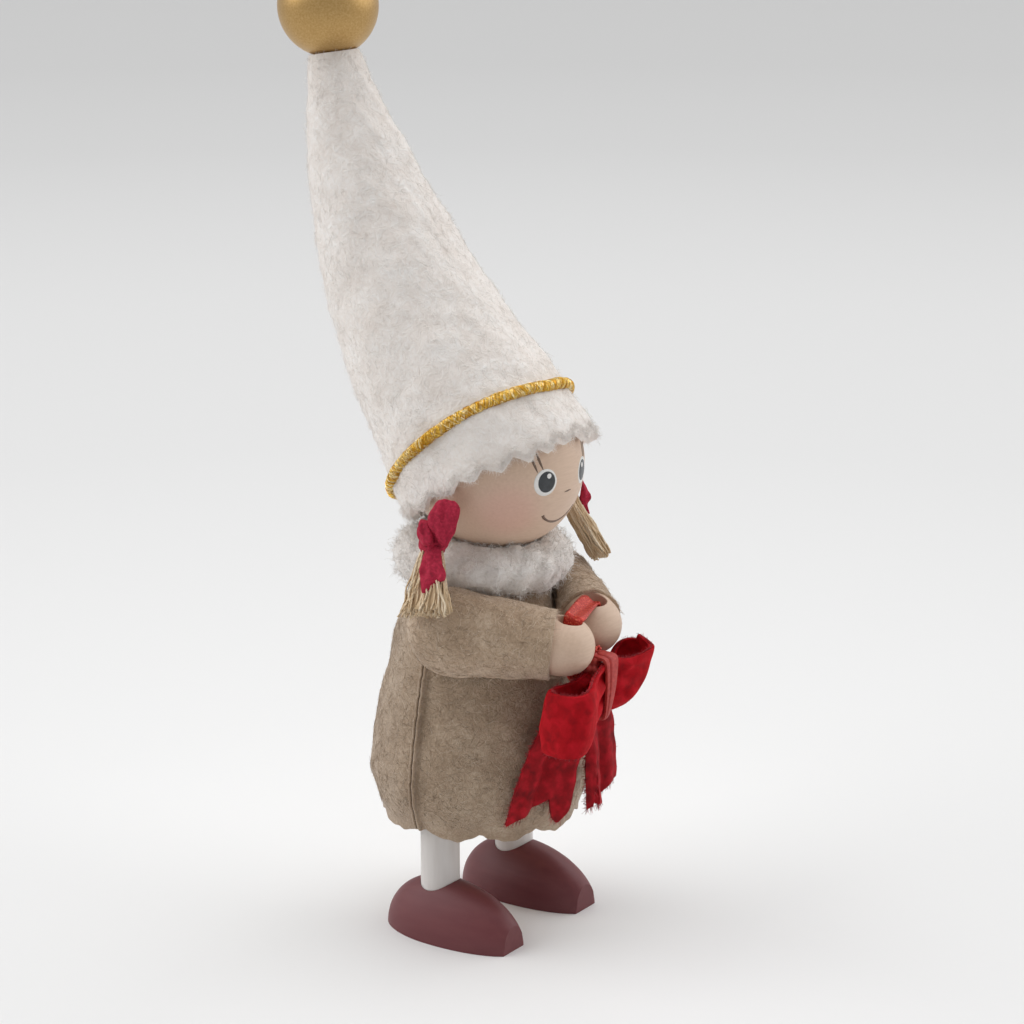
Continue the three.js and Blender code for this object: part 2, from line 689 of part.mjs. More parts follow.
// The hand's shank and round end as one turned form, grown for the sleeve's pocket.
function handForm(arm, margin) {
  const radius = HAND_RADIUS + margin;
  const centre = HAND_HOLE_FROM_CUFF - HAND_HOLE_AHEAD_OF_ROUND;
  const arc = heights(1, 0, 6).map((share) => (share * Math.PI) / 2);
  const end = arc.map((angle) => [radius * Math.sin(angle), centre + radius * Math.cos(angle)]);
  const tenon = HAND_TENON_RADIUS + margin;
  const shankStart = -HAND_SHANK - margin;
  const start = shankStart - HAND_TENON_LENGTH;
  const back = [[0, start], [tenon, start], [tenon, shankStart], [radius, shankStart]];
  const form = turned([...back, ...end.slice(0, -1), [0, centre + radius]], FINE - COARSE);
  const turn = new THREE.Quaternion().setFromUnitVectors(new THREE.Vector3(0, 0, 1), arm.forward);
  return form.applyQuaternion(turn).translate(arm.cuff.x, arm.cuff.y, arm.cuff.z);
}

// One wire: straight through the body, bent forward at each elbow, and into each hand.
function armWireForm(margin) {
  const exitX = coatRadius(shoulder.z) + SEAM_ALLOWANCE + GAP;
  const route = new THREE.CurvePath();
  const [right, left] = arms.map((arm) => {
    const end = arm.cuff.clone().addScaledVector(arm.forward, -HAND_SHANK + margin);
    const exit = shoulder.clone().add(new THREE.Vector3(arm.side * exitX, 0, 0));
    const backToLine = ELBOW_AHEAD / arm.forward.y;
    const corner = arm.elbow.clone().addScaledVector(arm.forward, backToLine).setZ(shoulder.z);
    return { end, afterBend: arm.elbow, exit, corner };
  });
  route.add(new THREE.LineCurve3(right.end, right.afterBend));
  route.add(new THREE.QuadraticBezierCurve3(right.afterBend, right.corner, right.exit));
  route.add(new THREE.LineCurve3(right.exit, left.exit));
  route.add(new THREE.QuadraticBezierCurve3(left.exit, left.corner, left.afterBend));
  route.add(new THREE.LineCurve3(left.afterBend, left.end));
  return swept(circleSection(ARM_WIRE_RADIUS + margin, 8), route, 32);
}

// Sleeve: hollow for the hand and the wire, and clear of the coat and its seams at either limit.
function sleeve(arm) {
  const coats = [0, ARM_LIFT].map((angle) => lifted(coatForm(SEAM_ALLOWANCE + GAP), -angle));
  return cut(sleeveForm(arm, 0), handForm(arm, GAP), armWireForm(GAP), ...coats);
}

// Hand: drilled upright for the ribbon and from behind for the wire.
function hand(arm) {
  const reach = new THREE.Vector3(0, 0, 2 * HAND_RADIUS);
  const hole = rod(HAND_HOLE_RADIUS, arm.hole.clone().sub(reach), arm.hole.clone().add(reach), COARSE);
  return cut(handForm(arm, 0), hole, armWireForm(GAP));
}

// Bow frame: its middle stands ahead of the shoulders, just under the hands.
const handsZ = shoulder.z - HAND_BELOW_SHOULDER;
const bowTopZ = handsZ - BOW_TOP_BELOW_HANDS;
const bowMiddle = new THREE.Vector3(
  -BOW_TO_THE_RIGHT,
  shoulder.y - BOW_AHEAD,
  bowTopZ - VELVET_WIDTH / 2,
);
const bowLean = Math.tan(THREE.MathUtils.degToRad(BOW_LEAN));
const wrapRear = BOW_PINCH + VELVET_THICKNESS / 2 + GAP;
const tailY = bowMiddle.y + wrapRear + WRAP_THICKNESS + GAP + VELVET_THICKNESS / 2;

// Velvet loops: one band stood on edge and pinched at the middle.
function bowLoops() {
  const count = 44;
  const smallStep = 0.01;
  const toFullBulge = (3 * Math.sqrt(3)) / 2;
  const middleLine = (angle) => {
    const loop = Math.sin(angle) > 0 ? LEFT_LOOP : RIGHT_LOOP;
    const bulge = Math.cos(angle) > 0 ? loop.front : loop.back;
    return new THREE.Vector2(
      loop.reach * Math.sin(angle),
      -Math.cos(angle) * (BOW_PINCH + toFullBulge * bulge * Math.sin(angle) ** 2),
    );
  };
  const height = (x, y) => {
    const fromHand = (Math.abs(x) - HAND_OUT) / HAND_RADIUS;
    const dip = y > 0 ? BOW_DIP_UNDER_HANDS * Math.exp(-(fromHand ** 2)) : 0;
    const gather = BOW_GATHER * Math.exp(-((x / BOW_GATHER_REACH) ** 2));
    const loop = x > 0 ? LEFT_LOOP : RIGHT_LOOP;
    const toEnd = Math.abs(x / loop.reach) ** 3;
    return {
      low: -VELVET_WIDTH / 2 + gather + loop.bottomRise * toEnd,
      high: VELVET_WIDTH / 2 - Math.max(dip, loop.topDrop * toEnd),
    };
  };
  const rings = Array.from({ length: count }, (_, i) => {
    const angle = (2 * Math.PI * i) / count;
    const here = middleLine(angle);
    const along = middleLine(angle + smallStep).sub(middleLine(angle - smallStep)).normalize();
    const normal = new THREE.Vector2(along.y, -along.x).multiplyScalar(VELVET_THICKNESS / 2);
    const { low, high } = height(here.x, here.y);
    const loop = here.x > 0 ? LEFT_LOOP : RIGHT_LOOP;
    const rise = (loop.rise * Math.abs(here.x)) / loop.reach;
    return [
      [1, low],
      [1, high],
      [-1, high],
      [-1, low],
    ].map(([out, z]) => new THREE.Vector3(here.x + out * normal.x, here.y + out * normal.y, z + rise));
  });
  return placedInBow(loft(rings, true));
}

// Stands a shape at the bow's middle, with its top leaning to the left.
function placedInBow(geometry) {
  const shear = new THREE.Matrix4().makeShear(0, 0, 0, 0, bowLean, 0);
  return geometry.applyMatrix4(shear).translate(bowMiddle.x, bowMiddle.y, bowMiddle.z);
}

// Wrap: a narrow ribbon round the pinched middle and the tops of the tails.
function bowWrap() {
  const front = -BOW_PINCH - VELVET_THICKNESS / 2 - GAP;
  const rear = wrapRear;
  const high = VELVET_WIDTH / 2 + GAP;
  const low = BOW_GATHER - VELVET_WIDTH / 2 - 2 * GAP;
  const outline = (grow) => {
    const points = [
      [front - grow, low - grow],
      [rear + grow, low - grow],
      [rear + grow, high + grow],
      [front - grow, high + grow],
    ];
    return points.map(([y, z]) => new THREE.Vector2(y, z));
  };
  const shape = new THREE.Shape(outline(WRAP_THICKNESS));
  shape.holes.push(new THREE.Path(outline(0)));
  const band = new THREE.ExtrudeGeometry(shape, { depth: WRAP_WIDTH, bevelEnabled: false });
  band.translate(0, 0, -WRAP_WIDTH / 2).applyMatrix4(
    new THREE.Matrix4().makeBasis(
      new THREE.Vector3(0, 1, 0),
      new THREE.Vector3(0, 0, 1),
      new THREE.Vector3(1, 0, 0),
    ),
  );
  return placedInBow(band);
}

// A tail between two edge curves that start at the wrap, one above the other.
function bowTail(edges) {
  const curves = edges.map((points) => {
    const places = points.map(([x, y, z]) => new THREE.Vector3(bowMiddle.x + x, tailY + y, bowTopZ + z));
    return new THREE.QuadraticBezierCurve3(...places);
  });
  const columns = 8;
  const rows = 9;
  const grid = heights(0, 1, rows).map((down) =>
    heights(0, 1, columns).map((across) => {
      const wave = Math.abs(((across * TAIL_TEETH * 2) % 2) - 1);
      const reach = down * (1 - wave * (TAIL_TOOTH_DEPTH / RIGHT_TAIL_DROP));
      const [a, b] = curves.map((curve) => curve.getPoint(reach));
      const bow = TAIL_BOWED_AHEAD * Math.sin(Math.PI * across) * down;
      return a.lerp(b, across).add(new THREE.Vector3(0, -bow, 0));
    }),
  );
  return thickened(grid, VELVET_THICKNESS);
}

// Ribbon that bridges the hands, runs down through both holes and gathers over the bow.
function handRibbon() {
  const [right, left] = arms;
  const rim = Math.sqrt(HAND_RADIUS ** 2 - HAND_HOLE_RADIUS ** 2);
  const under = HAND_RADIUS + 2 * HAND_RIBBON_THICKNESS;
  const hangY = bowMiddle.y + wrapRear + WRAP_THICKNESS;
  const hangX = bowMiddle.x + (bowLean * VELVET_WIDTH) / 2;
  const hangZ = bowTopZ + WRAP_THICKNESS + 2 * GAP;
  const strand = (arm) => {
    const { x, y, z } = arm.hole;
    const inward = -arm.side;
    const entry = RIBBON_ENTRY;
    const hole = RIBBON_IN_HOLE;
    const below = RIBBON_UNDER_HAND;
    const crossing = RIBBON_CROSSING;
    const crossingY = THREE.MathUtils.lerp(y, hangY, crossing.share) + crossing.back;
    const hanger = RIBBON_HANGER;
    const end = RIBBON_END;
    return [
      [x + inward * HAND_HOLE_RADIUS, y, z + rim + RIBBON_ABOVE_RIM],
      [x + inward * entry.inside, y, z + rim + entry.above_rim],
      [x, y, z + rim - hole.below_rim],
      [x, y + hole.back, z - HAND_RADIUS + hole.above_bottom],
      [x + inward * below.inside, y + below.back, z - under],
      [x + inward * crossing.inside, crossingY, z - under + crossing.up],
      [hangX + arm.side * hanger.apart, hangY + hanger.back, hangZ - hanger.down],
      [hangX + arm.side * end.apart, hangY - end.ahead, hangZ + end.up],
    ].map(([a, b, c]) => new THREE.Vector3(a, b, c));
  };
  const points = [...strand(right).reverse(), ...strand(left)];
  const route = new THREE.CatmullRomCurve3(points, false, "centripetal");
  const half = 28;
  const steps = 2 * half;
  const across = [];
  const tilt = THREE.MathUtils.degToRad(RIBBON_TILT);
  across[half] = new THREE.Vector3(0, Math.cos(tilt), Math.sin(tilt));
  for (const way of [-1, 1]) {
    for (let i = half + way; i >= 0 && i <= steps; i += way) {
      const along = route.getTangentAt(i / steps);
      const last = across[i - way];
      across[i] = last.clone().addScaledVector(along, -last.dot(along)).normalize();
    }
  }
  const rings = across.map((widthWay, i) => {
    const share = i / steps;
    const here = route.getPointAt(share);
    const normal = route.getTangentAt(share).cross(widthWay).normalize();
    const spread = THREE.MathUtils.smoothstep(
      Math.min(share, 1 - share),
      RIBBON_GATHERED_TO,
      RIBBON_FULL_WIDTH_FROM,
    );
    const width = THREE.MathUtils.lerp(HAND_RIBBON_GATHERED, HAND_RIBBON_WIDTH, spread);
    return [
      [-1, -1],
      [1, -1],
      [1, 1],
      [-1, 1],
    ].map(([a, b]) =>
      here
        .clone()
        .addScaledVector(widthWay, (a * width) / 2)
        .addScaledVector(normal, (b * HAND_RIBBON_THICKNESS) / 2),
    );
  });
  return loft(rings);
}

// Pigtails, placed from the head's centre.
const pigtails = [
  { side: -1, ...RIGHT_PIGTAIL },
  { side: 1, ...LEFT_PIGTAIL },
].map(({ side, root, knot, end }) => {
  const at = (offset) => headCentre.clone().add(new THREE.Vector3(...offset));
  return { side, root: at(root), knot: at(knot), end: at(end) };
});

// Flax bundle: narrow at the root and under the tie, brushed out at the end.
function hairForm({ root, knot, end }, margin) {
  const route = new THREE.CatmullRomCurve3([root, knot, end]);
  const stops = heights(0, 1, 8);
  const knotShare = root.distanceTo(knot) / (root.distanceTo(knot) + knot.distanceTo(end));
  const rings = stops.map((share) => {
    const here = route.getPointAt(share);
    const along = route.getTangentAt(share);
    const depthWay = new THREE.Vector3(here.x - headCentre.x, here.y - headCentre.y, 0);
    depthWay.addScaledVector(along, -depthWay.dot(along)).normalize();
    const widthWay = along.clone().cross(depthWay);
    const lower = Math.max(0, (share - knotShare) / (1 - knotShare));
    const upper = Math.min(1, share / knotShare);
    const neck = THREE.MathUtils.lerp(HAIR_ROOT_RADIUS, HAIR_KNOT_RADIUS, upper);
    const width = THREE.MathUtils.lerp(neck, HAIR_END_HALF_WIDTH, lower ** HAIR_FLARE) + margin;
    const depth = THREE.MathUtils.lerp(neck, HAIR_END_HALF_DEPTH, lower) + margin;
    return Array.from({ length: COARSE }, (_, i) => {
      const angle = (2 * Math.PI * i) / COARSE;
      return here
        .clone()
        .addScaledVector(widthWay, width * Math.cos(angle))
        .addScaledVector(depthWay, depth * Math.sin(angle));
    });
  });
  return loft(rings);
}

// Cloth tie: a knot round the hair with one end standing up and one hanging down.
function tie(pigtail) {
  const { side, root, knot, end } = pigtail;
  const outward = new THREE.Vector3(knot.x - headCentre.x, knot.y - headCentre.y, 0).normalize();
  const ahead = new THREE.Vector3(0, 0, 1).cross(outward).multiplyScalar(-side);
  const lump = HAIR_KNOT_RADIUS + TIE_THICKNESS + GAP;
  const knotBall = new THREE.SphereGeometry(1, COARSE, 8).scale(lump, lump, TIE_KNOT_FLATNESS * lump);
  knotBall.translate(knot.x, knot.y, knot.z);
  const widening = (down) => THREE.MathUtils.lerp(TIE_NARROW_SHARE, 1, down);
  const wing = (way, length, flare) => {
    const base = knot.clone().addScaledVector(outward, lump - TIE_THICKNESS);
    const across = way.clone().cross(outward).normalize();
    const grid = heights(0, 1, 3).map((down) =>
      heights(-1, 1, 2).map((share) =>
        base
          .clone()
          .addScaledVector(way, length * down + share * flare * down)
          .addScaledVector(across, (share * TIE_WIDTH * widening(down)) / 2)
          .addScaledVector(outward, -TIE_CURL * share * share * down),
      ),
    );
    return thickened(grid, TIE_THICKNESS);
  };
  const down = end.clone().sub(knot).normalize();
  const upWay = root.clone().sub(knot).normalize().addScaledVector(ahead, TIE_UPPER_LEAN).normalize();
  const upper = wing(upWay, TIE_UPPER_LENGTH, TIE_UPPER_SLANT * side);
  const lower = wing(down, TIE_LOWER_LENGTH, TIE_LOWER_SLANT * side);
  return cut(join(knotBall, upper, lower), hairForm(pigtail, GAP));
}

// Finishes, as colours of the real surfaces.
const finishes = {
  maroonPaint: { color: 0x6b3f42, roughness: 0.55 },
  whitePaint: { color: 0xe4e0dc, roughness: 0.6 },
  bareWood: { color: 0xc4a283, roughness: 0.6 },
  coatFelt: { color: 0xa08a70, roughness: 0.95 },
  hatFelt: { color: 0xe2dad2, roughness: 0.95 },
  fur: { color: 0xd6d4d0, roughness: 0.95 },
  tinsel: { color: 0xc99a3a, roughness: 0.35, metalness: 0.9 },
  goldPaint: { color: 0xb8934f, roughness: 0.4, metalness: 0.7 },
  steel: { color: 0x9a9a9a, roughness: 0.4, metalness: 1 },
  wadding: { color: 0xf0eee8, roughness: 1 },
  velvet: { color: 0xb4101c, roughness: 0.8 },
  satin: { color: 0xb02428, roughness: 0.45 },
  tieCloth: { color: 0xb01a38, roughness: 0.85 },
  flax: { color: 0xc9ad82, roughness: 0.8 },
};

const figurine = new THREE.Group();

function piece(name, geometry, finish, place = new THREE.Vector3()) {
  const { metalness = 0, ...surface } = finishes[finish];
  const mesh = new THREE.Mesh(geometry, new THREE.MeshStandardMaterial({ ...surface, metalness }));
  mesh.name = name;
  mesh.position.copy(place);
  figurine.add(mesh);
}

for (const [name, side] of [["right", -1], ["left", 1]]) {
  const place = new THREE.Vector3((side * LEG_SPACING) / 2, 0, 0);
  piece(`${name}_shoe`, shoe(), "maroonPaint", place);
  piece(`${name}_leg`, leg(), "whitePaint", place);
}
piece("body_core", bodyCore(), "bareWood");
piece("neck_peg", neckPegForm(0), "bareWood");
piece("coat_front", coatPanel(-1), "coatFelt");
piece("coat_back", coatPanel(1), "coatFelt");
piece("fur_collar", furCollar(), "fur");
piece("head", head(), "bareWood");
piece("hat", hat(), "hatFelt");
piece("hat_band", hatBand(), "tinsel");
piece("hat_wadding", hatWadding(), "wadding");
piece("hat_wire", hatWireForm(0), "steel");
piece("hat_bead", hatBead(), "goldPaint");
piece("arm_wire", armWireForm(0), "steel");
arms.forEach((arm) => {
  const name = arm.side < 0 ? "right" : "left";
  piece(`${name}_sleeve`, sleeve(arm), "coatFelt");
  piece(`${name}_hand`, hand(arm), "bareWood");
});
piece("hand_ribbon", handRibbon(), "satin");
piece("bow_loops", bowLoops(), "velvet");
piece("bow_right_tail", bowTail(RIGHT_TAIL_EDGES), "velvet");
piece("bow_left_tail", bowTail(LEFT_TAIL_EDGES), "velvet");
piece("bow_wrap", bowWrap(), "satin");
pigtails.forEach((pigtail) => {
  const name = pigtail.side < 0 ? "right" : "left";
  piece(`${name}_pigtail_hair`, hairForm(pigtail, 0), "flax");
  piece(`${name}_pigtail_tie`, tie(pigtail), "tieCloth");
});

// The origin is on the ground, under the middle of the whole figurine.
const extent = new THREE.Box3().setFromObject(figurine);
const middle = extent.getCenter(new THREE.Vector3());
figurine.position.set(-middle.x, -middle.y, -extent.min.z);

export default figurine;
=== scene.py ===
# %% [markdown]
# # A gnome girl of wood, felt and ribbon
# The figure stands about 16 cm tall. Turned and painted wood carries felt clothes, a fluffy felt hat,
# flax pigtails and a velvet bow. Every piece is made where the CAD model says it is, in metres.

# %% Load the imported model
from math import ceil, cos, pi, radians, sin, sqrt, tan

import bpy
import numpy as np
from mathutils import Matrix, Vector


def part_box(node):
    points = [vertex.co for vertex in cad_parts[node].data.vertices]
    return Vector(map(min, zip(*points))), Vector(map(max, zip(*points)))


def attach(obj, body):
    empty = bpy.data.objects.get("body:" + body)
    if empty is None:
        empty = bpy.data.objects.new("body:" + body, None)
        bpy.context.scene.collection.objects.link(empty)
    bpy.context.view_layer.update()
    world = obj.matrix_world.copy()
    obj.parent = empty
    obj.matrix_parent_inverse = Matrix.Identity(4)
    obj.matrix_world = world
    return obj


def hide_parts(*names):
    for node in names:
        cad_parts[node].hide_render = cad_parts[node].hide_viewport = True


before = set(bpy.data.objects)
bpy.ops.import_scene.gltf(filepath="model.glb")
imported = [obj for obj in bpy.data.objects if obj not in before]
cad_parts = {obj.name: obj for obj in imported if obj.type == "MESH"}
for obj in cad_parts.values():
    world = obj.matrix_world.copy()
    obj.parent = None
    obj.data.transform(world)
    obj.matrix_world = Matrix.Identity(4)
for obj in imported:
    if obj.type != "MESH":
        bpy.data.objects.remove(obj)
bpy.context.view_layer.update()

# %% [markdown]
# ## One way of measuring
# The sizes below are in millimetres, from the floor midway between the two legs, as a maker would
# write them down. One function carries them into the model's own frame.

# %% Places in millimetres
leg_boxes = np.array([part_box("right_leg"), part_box("left_leg")])
BETWEEN_LEGS = 1000 * leg_boxes.reshape(4, 3).mean(0) * (1, 1, 0)


def to_frame(points):
    return (np.asarray(points, float) + BETWEEN_LEGS) / 1000


def unit(vectors):
    return vectors / np.maximum(np.linalg.norm(vectors, axis=-1, keepdims=True), 1e-9)


print("midway between the legs, in mm:", BETWEEN_LEGS.round(3))

# %% [markdown]
# ## Camera
# It comes first, because it decides how everything else is seen. It stands at the height of the hat, to
# the figure's right, and looks down a little. A long lens keeps the figure undistorted.

# %% Camera
CAMERA_PLACE = (-327.5, -243.76, 181.18)
CAMERA_HEADING = radians(-54.14)
CAMERA_DOWN = radians(15.37)
LENS_MM = 92.42
SENSOR_MM = 36
camera = bpy.data.objects.new("camera", bpy.data.cameras.new("camera"))
camera.location = to_frame(CAMERA_PLACE)
camera.rotation_euler = (pi / 2 - CAMERA_DOWN, 0, CAMERA_HEADING)
camera.data.sensor_width = SENSOR_MM
camera.data.lens = LENS_MM
camera.data.clip_start = 0.01
bpy.context.collection.objects.link(camera)
bpy.context.scene.camera = camera
bpy.context.scene.view_settings.view_transform = "Standard"
print("camera at", tuple(round(x, 4) for x in camera.location))

# %% [markdown]
# ## Materials
# A Blender material is a small network of nodes. Two helpers are enough for all of them: one starts a
# material and sets the plain numbers on its shader, and one adds any kind of node, sets it and links it.
# Colours are written as they look on a screen, and one function turns them to the linear light that
# Blender computes with.

# %% Helpers for colours and nodes
def linear(hex_colour):
    parts = [int(hex_colour[i : i + 2], 16) / 255 for i in (1, 3, 5)]
    return (*(p / 12.92 if p <= 0.04045 else ((p + 0.055) / 1.055) ** 2.4 for p in parts), 1)


def new_material(name, **constants):
    material = bpy.data.materials.new(name)
    material.use_nodes = True
    shader = material.node_tree.nodes["Principled BSDF"]
    for socket, value in constants.items():
        shader.inputs[socket.replace("_", " ")].default_value = value
    return material


def add(material, kind, inputs=None, stops=None, **settings):
    tree = material.node_tree
    node = tree.nodes.new("ShaderNode" + kind)
    for name, value in settings.items():
        setattr(node, name, value)
    if stops:
        ramp = node.color_ramp
        ramp.elements[0].position = stops[0][0]
        ramp.elements[1].position = stops[-1][0]
        for place, _ in stops[1:-1]:
            ramp.elements.new(place)
        for element, (_, colour) in zip(ramp.elements, stops):
            element.color = linear(colour)
    for name, value in (inputs or {}).items():
        if isinstance(value, bpy.types.NodeSocket):
            tree.links.new(value, node.inputs[name])
        else:
            node.inputs[name].default_value = value
    return node


def finish_with(material, **links):
    shader = material.node_tree.nodes["Principled BSDF"]
    for socket, source in links.items():
        material.node_tree.links.new(source, shader.inputs[socket.replace("_", " ")])
    print("material", material.name)
    return material


# %% [markdown]
# ### Wool felt
# Felt is carded wool that was wetted and rubbed until its fibres locked. It is quite matte, its colour
# changes in soft blotches, and curly fibres lie over it in all directions. A strongly distorted noise
# folds into such curls, and the same curls raise the surface a little. Sheen gives the pale rim that fine
# fibres catch. The longer fibres that stand off it are real strands, made with the pieces. The sleeves'
# felt and fibres are painted paler than the coat's: painted light for the light that falls on the sleeves
# from above.

# %% Felt
def wool_felt(name, colours, curl_mm, blotch_mm, relief_mm, sheen=0.3):
    material = new_material(name, Roughness=0.95, IOR=1.5, Sheen_Weight=sheen, Sheen_Roughness=0.5)
    place = add(material, "TexCoord").outputs["Object"]
    blotch = add(material, "TexNoise", {"Vector": place, "Scale": 1000 / blotch_mm, "Detail": 4})
    curls = add(
        material,
        "TexNoise",
        {"Vector": place, "Scale": 1000 / curl_mm, "Detail": 3, "Roughness": 0.6, "Distortion": 2.5},
    )
    mixed = add(
        material,
        "Mix",
        {"Factor": 0.55, "A": blotch.outputs["Fac"], "B": curls.outputs["Fac"]},
    )
    colour = add(
        material,
        "ValToRGB",
        {"Fac": mixed.outputs["Result"]},
        stops=list(zip((0.3, 0.5, 0.7), colours)),
    )
    bump = add(
        material,
        "Bump",
        {"Height": curls.outputs["Fac"], "Strength": 0.9, "Distance": relief_mm / 1000},
    )
    return finish_with(material, Base_Color=colour.outputs["Color"], Normal=bump.outputs["Normal"])


coat_felt = wool_felt(
    "coat_wool_felt", ("#8c7660", "#a79079", "#c2ae98"), curl_mm=1.0, blotch_mm=5, relief_mm=0.25
)
# Painted light: the sleeve felt is a paler copy of the coat felt, for the light on the sleeves from above.
painted_light_sleeve_felt = wool_felt(
    "sleeve_wool_felt_painted_light", ("#998169", "#b69d84", "#d2bda6"), curl_mm=1.0, blotch_mm=5, relief_mm=0.25
)
hat_felt = wool_felt(
    "hat_wool_felt", ("#eae0d8", "#f5eee8", "#fdfaf7"), curl_mm=1.6, blotch_mm=5, relief_mm=0.2, sheen=0.2
)
collar_fleece = wool_felt(
    "collar_fleece", ("#d6cec7", "#ebe5e0", "#f8f5f2"), curl_mm=1.4, blotch_mm=4, relief_mm=0.2, sheen=0.2
)

# %% [markdown]
# ### Single fibres
# Wool, flax and frayed silk are bundles of single fibres, each of its own shade. Every strand of a
# piece carries a number from 0 to 1, its tone, and the material looks its colour up from that.

# %% Fibres
def fibre(name, colours, roughness=0.8, **constants):
    material = new_material(name, Roughness=roughness, IOR=1.53, **constants)
    tone = add(material, "Attribute", attribute_name="tone")
    stops = list(zip(np.linspace(0, 1, len(colours)), colours))
    colour = add(material, "ValToRGB", {"Fac": tone.outputs["Fac"]}, stops=stops)
    return finish_with(material, Base_Color=colour.outputs["Color"])


coat_fibre = fibre("coat_wool_fibre", ("#826c57", "#a68f78", "#c6b199", "#e6d7c4"))
# Painted light: the sleeve fibres are a paler copy of the coat fibres.
painted_light_sleeve_fibre = fibre("sleeve_wool_fibre_painted_light", ("#8e765f", "#b59c83", "#d6c0a7", "#f0e2d0"))
hat_fibre = fibre("hat_wool_fibre", ("#efe6df", "#f7f2ed", "#fefcfa"))
fleece_fibre = fibre("collar_fleece_fibre", ("#ddd5ce", "#f1ece7", "#fcfaf8"))
flax = fibre("combed_flax", ("#b8976f", "#d4b892", "#e6d0b0", "#f3e6d0"), roughness=0.55)
silk_fringe = fibre("frayed_velvet_edge", ("#5e0d15", "#a01624", "#c4303a"), roughness=0.6)

# %% [markdown]
# ### Painted and bare wood
# The shoes and legs wear a matte water paint, brushed on in a thin coat, so that the wood's long pores
# just show through as fine streaks. The head and hands have only a matte varnish, and the pale beech
# shows short darker flecks along its grain. Stretching the coordinates along one axis gives both.

# %% Wood
def streaks(material, stretch, width_mm, detail=3):
    place = add(material, "TexCoord").outputs["Object"]
    pulled = add(material, "Mapping", {"Vector": place, "Scale": stretch})
    noise = {"Vector": pulled.outputs["Vector"], "Scale": 1000 / width_mm, "Detail": detail}
    return add(material, "TexNoise", noise).outputs["Fac"]


def painted_wood(name, colours, stretch, roughness):
    material = new_material(name, Roughness=roughness, IOR=1.45)
    grain = streaks(material, stretch, 1.2)
    colour = add(material, "ValToRGB", {"Fac": grain}, stops=list(zip((0.3, 0.7), colours)))
    bump = add(material, "Bump", {"Height": grain, "Strength": 0.25, "Distance": 0.0001})
    return finish_with(material, Base_Color=colour.outputs["Color"], Normal=bump.outputs["Normal"])


maroon_paint = painted_wood("matte_maroon_paint", ("#683236", "#6e383b"), (1, 0.12, 1), 0.5)
white_paint = painted_wood("matte_white_paint", ("#d6d0cc", "#dfdbd8"), (1, 1, 0.1), 0.55)
bare_wood = painted_wood("bare_limewood", ("#b8946c", "#cfae88"), (1, 1, 0.06), 0.65)


BLUSH_EDGE = 0.0078
BLUSH_HEART = 0.001
BLUSH_STRENGTH = 0.26


def varnished_beech(name, blush_places=()):
    """Beech under matte varnish, with a soft red blush round each place."""
    reach = {"From Min": BLUSH_EDGE, "From Max": BLUSH_HEART, "To Max": BLUSH_STRENGTH}
    material = new_material(name, Roughness=0.5, IOR=1.5, Coat_Weight=0.1, Coat_Roughness=0.4)
    grain = streaks(material, (0.1, 1, 1), 0.35)
    stops = list(zip((0.3, 0.5, 0.72), ("#d1b49d", "#d5b9a2", "#d9bda7")))
    colour = add(material, "ValToRGB", {"Fac": grain}, stops=stops).outputs["Color"]
    place = add(material, "TexCoord").outputs["Object"]
    for centre in blush_places:
        away = add(material, "VectorMath", {0: place, 1: to_frame(centre)}, operation="DISTANCE")
        share = add(
            material,
            "MapRange",
            {"Value": away.outputs["Value"], **reach},
            interpolation_type="SMOOTHERSTEP",
        )
        colour = add(
            material,
            "Mix",
            {0: share.outputs["Result"], 6: colour, 7: linear("#d98a86")},
            data_type="RGBA",
        ).outputs[2]
    bump = add(material, "Bump", {"Height": grain, "Strength": 0.08, "Distance": 0.0001})
    return finish_with(material, Base_Color=colour, Normal=bump.outputs["Normal"])


# %% [markdown]
# ### Gold, velvet, satin and cloth
# The bead wears gold paint: mica flakes in varnish, metallic but soft. The cord is tinsel, a bright
# metal film wound round cotton. Velvet drinks light head-on and glows at grazing angles, which is what
# sheen does, and its pile lies in lighter and darker patches. The hand ribbon is satin with a glitter
# thread, and the hair ties are torn strips of plain-woven cotton. All of them are mottled a little, so
# one function makes them: a noise picks the colour and raises the surface.

# %% Gold and cloth
def mottled(name, colours, spot_mm, relief_mm, distortion=0.0, stops=(0.3, 0.5, 0.7), **constants):
    material = new_material(name, **constants)
    place = add(material, "TexCoord").outputs["Object"]
    noise = {"Vector": place, "Scale": 1000 / spot_mm, "Detail": 5, "Distortion": distortion}
    spots = add(material, "TexNoise", noise).outputs["Fac"]
    colour = add(material, "ValToRGB", {"Fac": spots}, stops=list(zip(stops, colours)))
    bump = add(material, "Bump", {"Height": spots, "Strength": 0.6, "Distance": relief_mm / 1000})
    return finish_with(material, Base_Color=colour.outputs["Color"], Normal=bump.outputs["Normal"])


gold_paint = mottled(
    "satin_gold_paint",
    ("#b08c55", "#b9965f", "#c2a06b"),
    spot_mm=0.3,
    relief_mm=0.008,
    Metallic=0.75,
    Roughness=0.38,
)
# The near-white end of these tones is painted glint, and the dark end painted shade.
tinsel = fibre("gold_tinsel_painted_glints", ("#c98c22", "#ffd65a", "#fff6d0"), roughness=0.25, Metallic=1.0)
cord_core = mottled(
    "cord_cotton_core",
    ("#b98628", "#d6a53c", "#ebc258"),
    spot_mm=0.4,
    relief_mm=0.1,
    Roughness=0.6,
    IOR=1.5,
)
velvet = mottled(
    "silk_velvet",
    ("#8b0511", "#a60815", "#bb1020"),
    spot_mm=1.6,
    relief_mm=0.2,
    distortion=0.4,
    Roughness=0.8,
    IOR=1.45,
    Specular_IOR_Level=0.2,
    Sheen_Weight=0.3,
    Sheen_Roughness=0.4,
    Sheen_Tint=linear("#ff0c14"),
)
